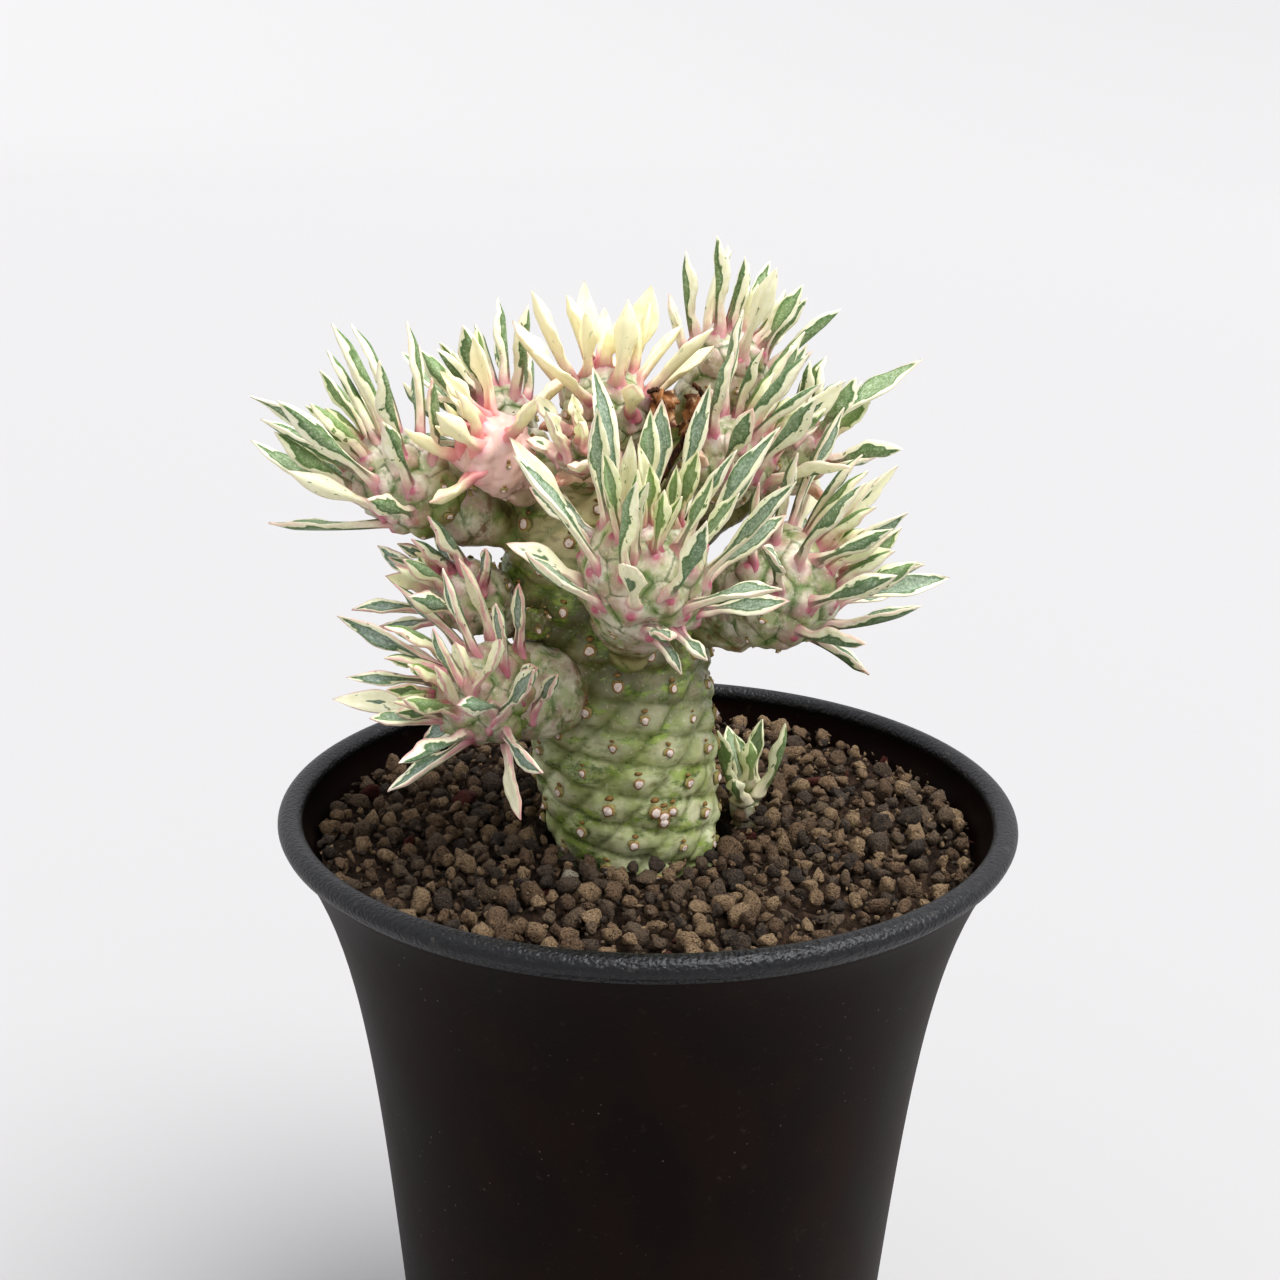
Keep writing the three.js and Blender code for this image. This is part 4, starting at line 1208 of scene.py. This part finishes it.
patchy = 0.35 + 0.65 * art.noise(flat, 1.6, 3.0).between(0.35, 0.65)
pinkness = rosy * up.between(7.5, 2.0) * s.between(0.6, 0.3) * patchy
rosy_edge = margin.between(0.24, 0.02) * edged * (0.4 + 0.6 * wander.between(0.4, 0.6))
old_tip = age.between(0.5, 0.9) * s.between(0.62, 0.95) * margin.between(0.5, 0.1) * blush.least(1.0)
flush = (blush - 1.0).most(0.0) * s.between(0.55, 0.05)
withered = age.between(1.005, 1.01)
dry = art.mix(s.between(0.3, 0.8) * mottle.between(0.3, 0.6), "#e9cdb4", "#b5665c")
leaf_colour = art.painted(cream_colour, [
    (green, green_colour),
    (0.62 * pinkness, "#cf7896"),
    (0.85 * rosy * up.between(3.4, 1.4), "#ac2f60"),
    (0.8 * rosy_edge, "#c9708c"),
    (0.55 * old_tip, "#d98f92"),
    (0.7 * flush, "#f4a8a2"),
    (0.8 * withered, dry),
])
relief = mottle + 0.5 * streaks + 0.3 * stipple
dress(art, blade_shader, leaf_colour, 0.4 + 0.16 * mottle, relief, 0.3, 0.16)

skin, skin_shader, art = finish_of("pale warty offset skin", 0.5, waxy + juicy(0.2, (1.6, 1.2, 0.7)))
at = art.place()
blush, foot, cork, inside, base = (
    art.attribute(name, "Fac") for name in ("tint", "foot", "cork", "inside", "leaf_base")
)
blotch = art.noise(at, 0.3, 4.0)
fine = art.noise(at, 2.4, 4.0)
drawn = art.noise(at * (1.0, 1.0, 0.55), 0.8, 5.0, 0.65)
shadowed = inside.between(0.42, 0.04) * art.noise(at, 0.38, 3.0).between(0.46, 0.6)
flush = blush.least(1.0) * art.noise(at, 0.33, 3.0).between(0.5, 0.66)
line = inside.between(0.1, 0.01) * art.noise(at, 0.45, 2.0).between(0.34, 0.5)
paler = (blush - 1.0).most(0.0)
old_skin = art.painted("#6c6335", [
    (blotch.between(0.38, 0.62), "#a09a68"),
    (0.7 * art.noise(at, 0.22, 4.0).between(0.52, 0.6), "#65822b"),
    (0.6 * line, "#3e441c"),
])
ragged = art.noise(at, 0.7, 4.0, 0.65).between(0.42, 0.56)
skin_colour = art.painted("#a0a578", [
    (blotch.between(0.38, 0.62), "#cfc9b4"),
    (0.5 * art.noise(at, 0.5, 3.0).between(0.5, 0.64), "#b0958a"),
    (0.8 * shadowed, "#5d7a34"),
    (0.5 * drawn.between(0.55, 0.64), "#58743c"),
    (0.45 * flush, "#bd8c92"),
    (0.4 * blush.least(1.0) * base.between(0.08, 0.5), "#c58292"),
    (0.9 * blush.least(1.0) * base.between(0.6, 0.95), "#ac2c60"),
    (0.75 * line, "#475f2b"),
    # Small pale specks: painted glints.
    (0.55 * fine.between(0.6, 0.72), "#e2dcc4"),
    (0.75 * paler, "#efc3bd"),
    (0.6 * paler * base.between(0.2, 0.9), "#ec8698"),
    (0.92 * foot, old_skin),
    (0.8 * cork * ragged, "#7a5330"),
])
dress(art, skin_shader, skin_colour, 0.34 + 0.16 * fine, drawn + 0.5 * fine, 0.22, 0.22)


def rosette_of(head):
    """The leaves of one head, as a piece."""
    blades = head["blades"]
    marks = {key: [leaf[key] for leaf in blades] for key in (
        "root", "along", "face", "length", "wide", "twist", "fold", "wave", "phase", "age", "bare",
    )}
    marks["bend"] = [leaf["bend"] if abs(leaf["bend"]) > 1e-3 else 1e-3 for leaf in blades]
    marks["own"] = [draw(leaf["key"], 41) for leaf in blades]
    marks["leaf_tint"] = [(
        1.0 if leaf["age"] > 1 else min(1, head.get("cream", 0) + 0.28 * (draw(leaf["key"], 42) > 0.9)),
        head.get("blush", spread(leaf["key"], 43, 0.65, 1.0)),
        max(head.get("tender", 0.0), 1 - leaf["age"] / 0.3),
    ) for leaf in blades]
    marks["leaf_kind"] = [(head["fresh"], head["edged"], 0.0)] * len(blades)
    return grown(head["name"] + " leaves", marked(head["name"], marks["root"], marks), leaf_plan, {
        "Rings": 30, "Sides": 12, "Finish": blade,
    })


def neck_of(name, head):
    """The short old stem that carries a head: warty, corky at its foot, and wider towards the body."""
    start, axis = head["start"], head["axis"]
    reach = np.linalg.norm(head["centre"] - start)
    side, other = sideways(axis)
    rings, sides = 44, 42
    f = np.repeat(np.linspace(0, 1, rings + 1), sides)
    a = np.tile(np.arange(sides) * 2 * math.pi / sides, rings + 1)
    into = np.clip((f * reach - (reach - head["half"]) + 4.5) / 6, 0, 1)
    wide = head["neck"] * (1 + 0.6 * into * into * (3 - 2 * into))
    out = np.outer(np.cos(a), side) + np.outer(np.sin(a), other)
    at = start + np.outer(f * reach, axis) + out * wide[:, None]
    count = int(2 * math.pi * head["neck"] * reach / (1.8 * head["cell"])) + 5
    turns = [(n, math.radians(golden_turn * n)) for n in range(count)]
    peaks = np.array([
        start + axis * reach * (n + 0.5) / count
        + (side * math.cos(t) + other * math.sin(t)) * head["neck"] * 1.1 for n, t in turns
    ])
    faces = [tuple(range(sides))[::-1], tuple(rings * sides + k for k in range(sides))]
    for j in range(rings):
        for k in range(sides):
            n = (k + 1) % sides
            faces.append((j * sides + k, j * sides + n, (j + 1) * sides + n, (j + 1) * sides + k))
    mesh = bpy.data.meshes.new(name)
    mesh.from_pydata((at * mm).tolist(), [], faces)
    warted(mesh, at, out, {**head, "cell": 1.8 * head["cell"]}, peaks, (1.3, 0.14, 0.4, 0.0), ())
    mesh.shade_smooth()
    along_neck = (f * reach - (reach - head["half"])) + 2.0 * lumps_at(at, 0.12)
    stored(mesh, "foot", np.clip(-along_neck / 2.5, 0, 1))
    stored(mesh, "cork", np.exp(-(along_neck / 1.1) ** 2))
    stored(mesh, "tint", np.full(len(at), float(head.get("blush", 0.8))))
    mesh.materials.append(skin)
    return set_down(name, mesh)


head_relief = (1.5, 0.16, 0.26, 0.9)
for head in heads:
    name = head["name"]
    fineness = 5 if head["radius"] < 5.2 else 6
    borne = {leaf["wart"] for leaf in head["blades"]}
    piece = joined(name + "_fine", [
        warty_skin(name + " skin", head, head_relief, fineness, skin, head.get("blush", 0.8), borne),
        neck_of(name + " neck", head),
        scars_of(name + " scars", head, borne | set(range(4)), 0.5),
        rosette_of(head),
    ])
    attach(piece, "root")
    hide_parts(name)

# Two dried flower stalks: brown, brittle and curled over at the top, from one withered base between
# the heads. Shrivelled papery bracts still cling to their upper ends.
stalk_finish, stalk_shader, art = finish_of("dried brown stalk", 0.3)
at = art.place()
ridges = art.noise(at * (1.0, 1.0, 0.3), 2.6, 4.0)
stalk_colour = art.mix(ridges.between(0.35, 0.65), "#1c120c", "#5c3a20")
dress(art, stalk_shader, stalk_colour, 0.8, ridges, 0.8, 0.3)
stalk_curve = bpy.data.curves.new("dried_flower_stalks", "CURVE")
stalk_curve.dimensions = "3D"
stalk_curve.bevel_depth = 0.5 * mm
stalk_curve.bevel_resolution = 3
stalk_curve.use_fill_caps = True
for line in stalk_lines:
    path = through(line, 28)
    spline = stalk_curve.splines.new("POLY")
    spline.points.add(len(path) - 1)
    for k, at in enumerate(path):
        spline.points[k].co = (*(at * mm), 1)
        spline.points[k].radius = 1.1 - 0.55 * k / len(path) + 0.15 * math.sin(2.4 * k)
stalk_seed = bpy.data.objects.new("stalk", stalk_curve)
stalk_mesh = bpy.data.meshes.new_from_object(stalk_seed)
bpy.data.objects.remove(stalk_seed)
stalks = set_down("dried_flower_stalks_fine", stalk_mesh)
finished_with(stalks, stalk_finish)

papery, papery_shader, art = finish_of("dry papery bract", 0.3)
on_leaf = art.attribute("on_leaf")
crumple = art.noise(art.place(), 1.1, 4.0)
papery_colour = art.painted("#a8764c", [
    (on_leaf.part("Y").between(0.2, 0.9), "#5c3c26"),
    (crumple.between(0.5, 0.7), "#c9a888"),
])
dress(art, papery_shader, papery_colour, 0.75, crumple, 0.7, 0.3)
flakes = []
for rank, line in enumerate(stalk_lines):
    for k, at in enumerate(through(line, 28)[11:20:2]):
        key = 700 + 40 * rank + k
        a = math.radians(golden_turn * k)
        along = unit(np.array([math.cos(a), math.sin(a), spread(key, 61, -0.2, 0.9)]))
        face = unit(np.cross(along, np.array([along[1], -along[0], 0.3])))
        flakes.append({
            "root": at, "along": along, "face": face,
            "length": spread(key, 62, 1.2, 2.2), "wide": spread(key, 63, 0.9, 1.4), "fold": 0.8,
            "bend": spread(key, 64, -1.8, 1.8), "twist": spread(key, 65, -1, 1), "wave": 0.8,
            "phase": 6 * draw(key, 66), "age": 1.1, "own": draw(key, 67), "bare": 0.0,
        })
marks = {key: [flake[key] for flake in flakes] for key in flakes[0]}
bits = grown("flakes", marked("flakes", marks["root"], marks), leaf_plan, {
    "Rings": 14, "Sides": 10, "Finish": papery,
})
stalks = joined("dried_flower_stalks_fine", [stalks, bits])
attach(stalks, "root")
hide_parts("dried_flower_stalks")

# The floor is plain and pale, and far off it curves up into a backdrop all round. The light is soft
# and even.
floor_flat = 12000
floor_wide = 20000
backdrop_tall = 3500
floor_gap = 0.01
floor_outline = [(0, 0)]
for t in np.linspace(0, 1, 13):
    floor_outline.append((floor_flat + (floor_wide - floor_flat) * t, backdrop_tall * t * t))
floor_outline += [(floor_wide + 100, backdrop_tall), (floor_wide + 100, -20), (0, -20)]
floor = turned("floor", floor_outline, 96)
for vertex in floor.data.vertices:
    vertex.co.z -= floor_gap * mm
floor.data.flip_normals()
floor_finish, floor_shader, art = finish_of("pale floor", 0.5, [("Roughness", 0.7)])
floor_shader.inputs["Base Color"].default_value = shade("#adacac")
finished_with(floor, floor_finish)

scene = bpy.context.scene
scene.world = bpy.data.worlds.new("studio")
scene.world.use_nodes = True
glow = scene.world.node_tree.nodes["Background"]
glow.inputs["Color"].default_value = shade("#e9e9ec")
glow.inputs["Strength"].default_value = 1.03
scene.view_settings.view_transform = "Standard"
scene.view_settings.look = "Medium High Contrast"
sun = bpy.data.lights.new("soft daylight", "SUN")
sun.angle = math.radians(45)
sun.energy = 3.2
sun_way = Vector((0.45, -0.25, 1.0))
lamp = set_down("soft daylight", sun)
lamp.rotation_euler = sun_way.to_track_quat("Z", "Y").to_euler()

# The camera stands where the photo was taken from, worked out from the rim's oval.
focal_pixels = 1622
photo_pixels = 1280
camera_at = (-1.44, -218.87, 205.95)
pitch = math.radians(16.629)
roll = math.radians(0.75)
look = Vector((0, math.cos(pitch), -math.sin(pitch)))
level_up = Vector((0, math.sin(pitch), math.cos(pitch)))
right = Vector((1, 0, 0)) * math.cos(roll) + level_up * math.sin(roll)
upright = level_up * math.cos(roll) - Vector((1, 0, 0)) * math.sin(roll)
lens = bpy.data.cameras.new("camera")
lens.sensor_width = 36
lens.lens = focal_pixels * lens.sensor_width / photo_pixels
lens.clip_start = 0.01
camera = set_down("camera", lens)
turn = Matrix((right, upright, -look)).transposed().to_4x4()
camera.matrix_world = Matrix.Translation(Vector(camera_at) * mm) @ turn
scene.camera = camera
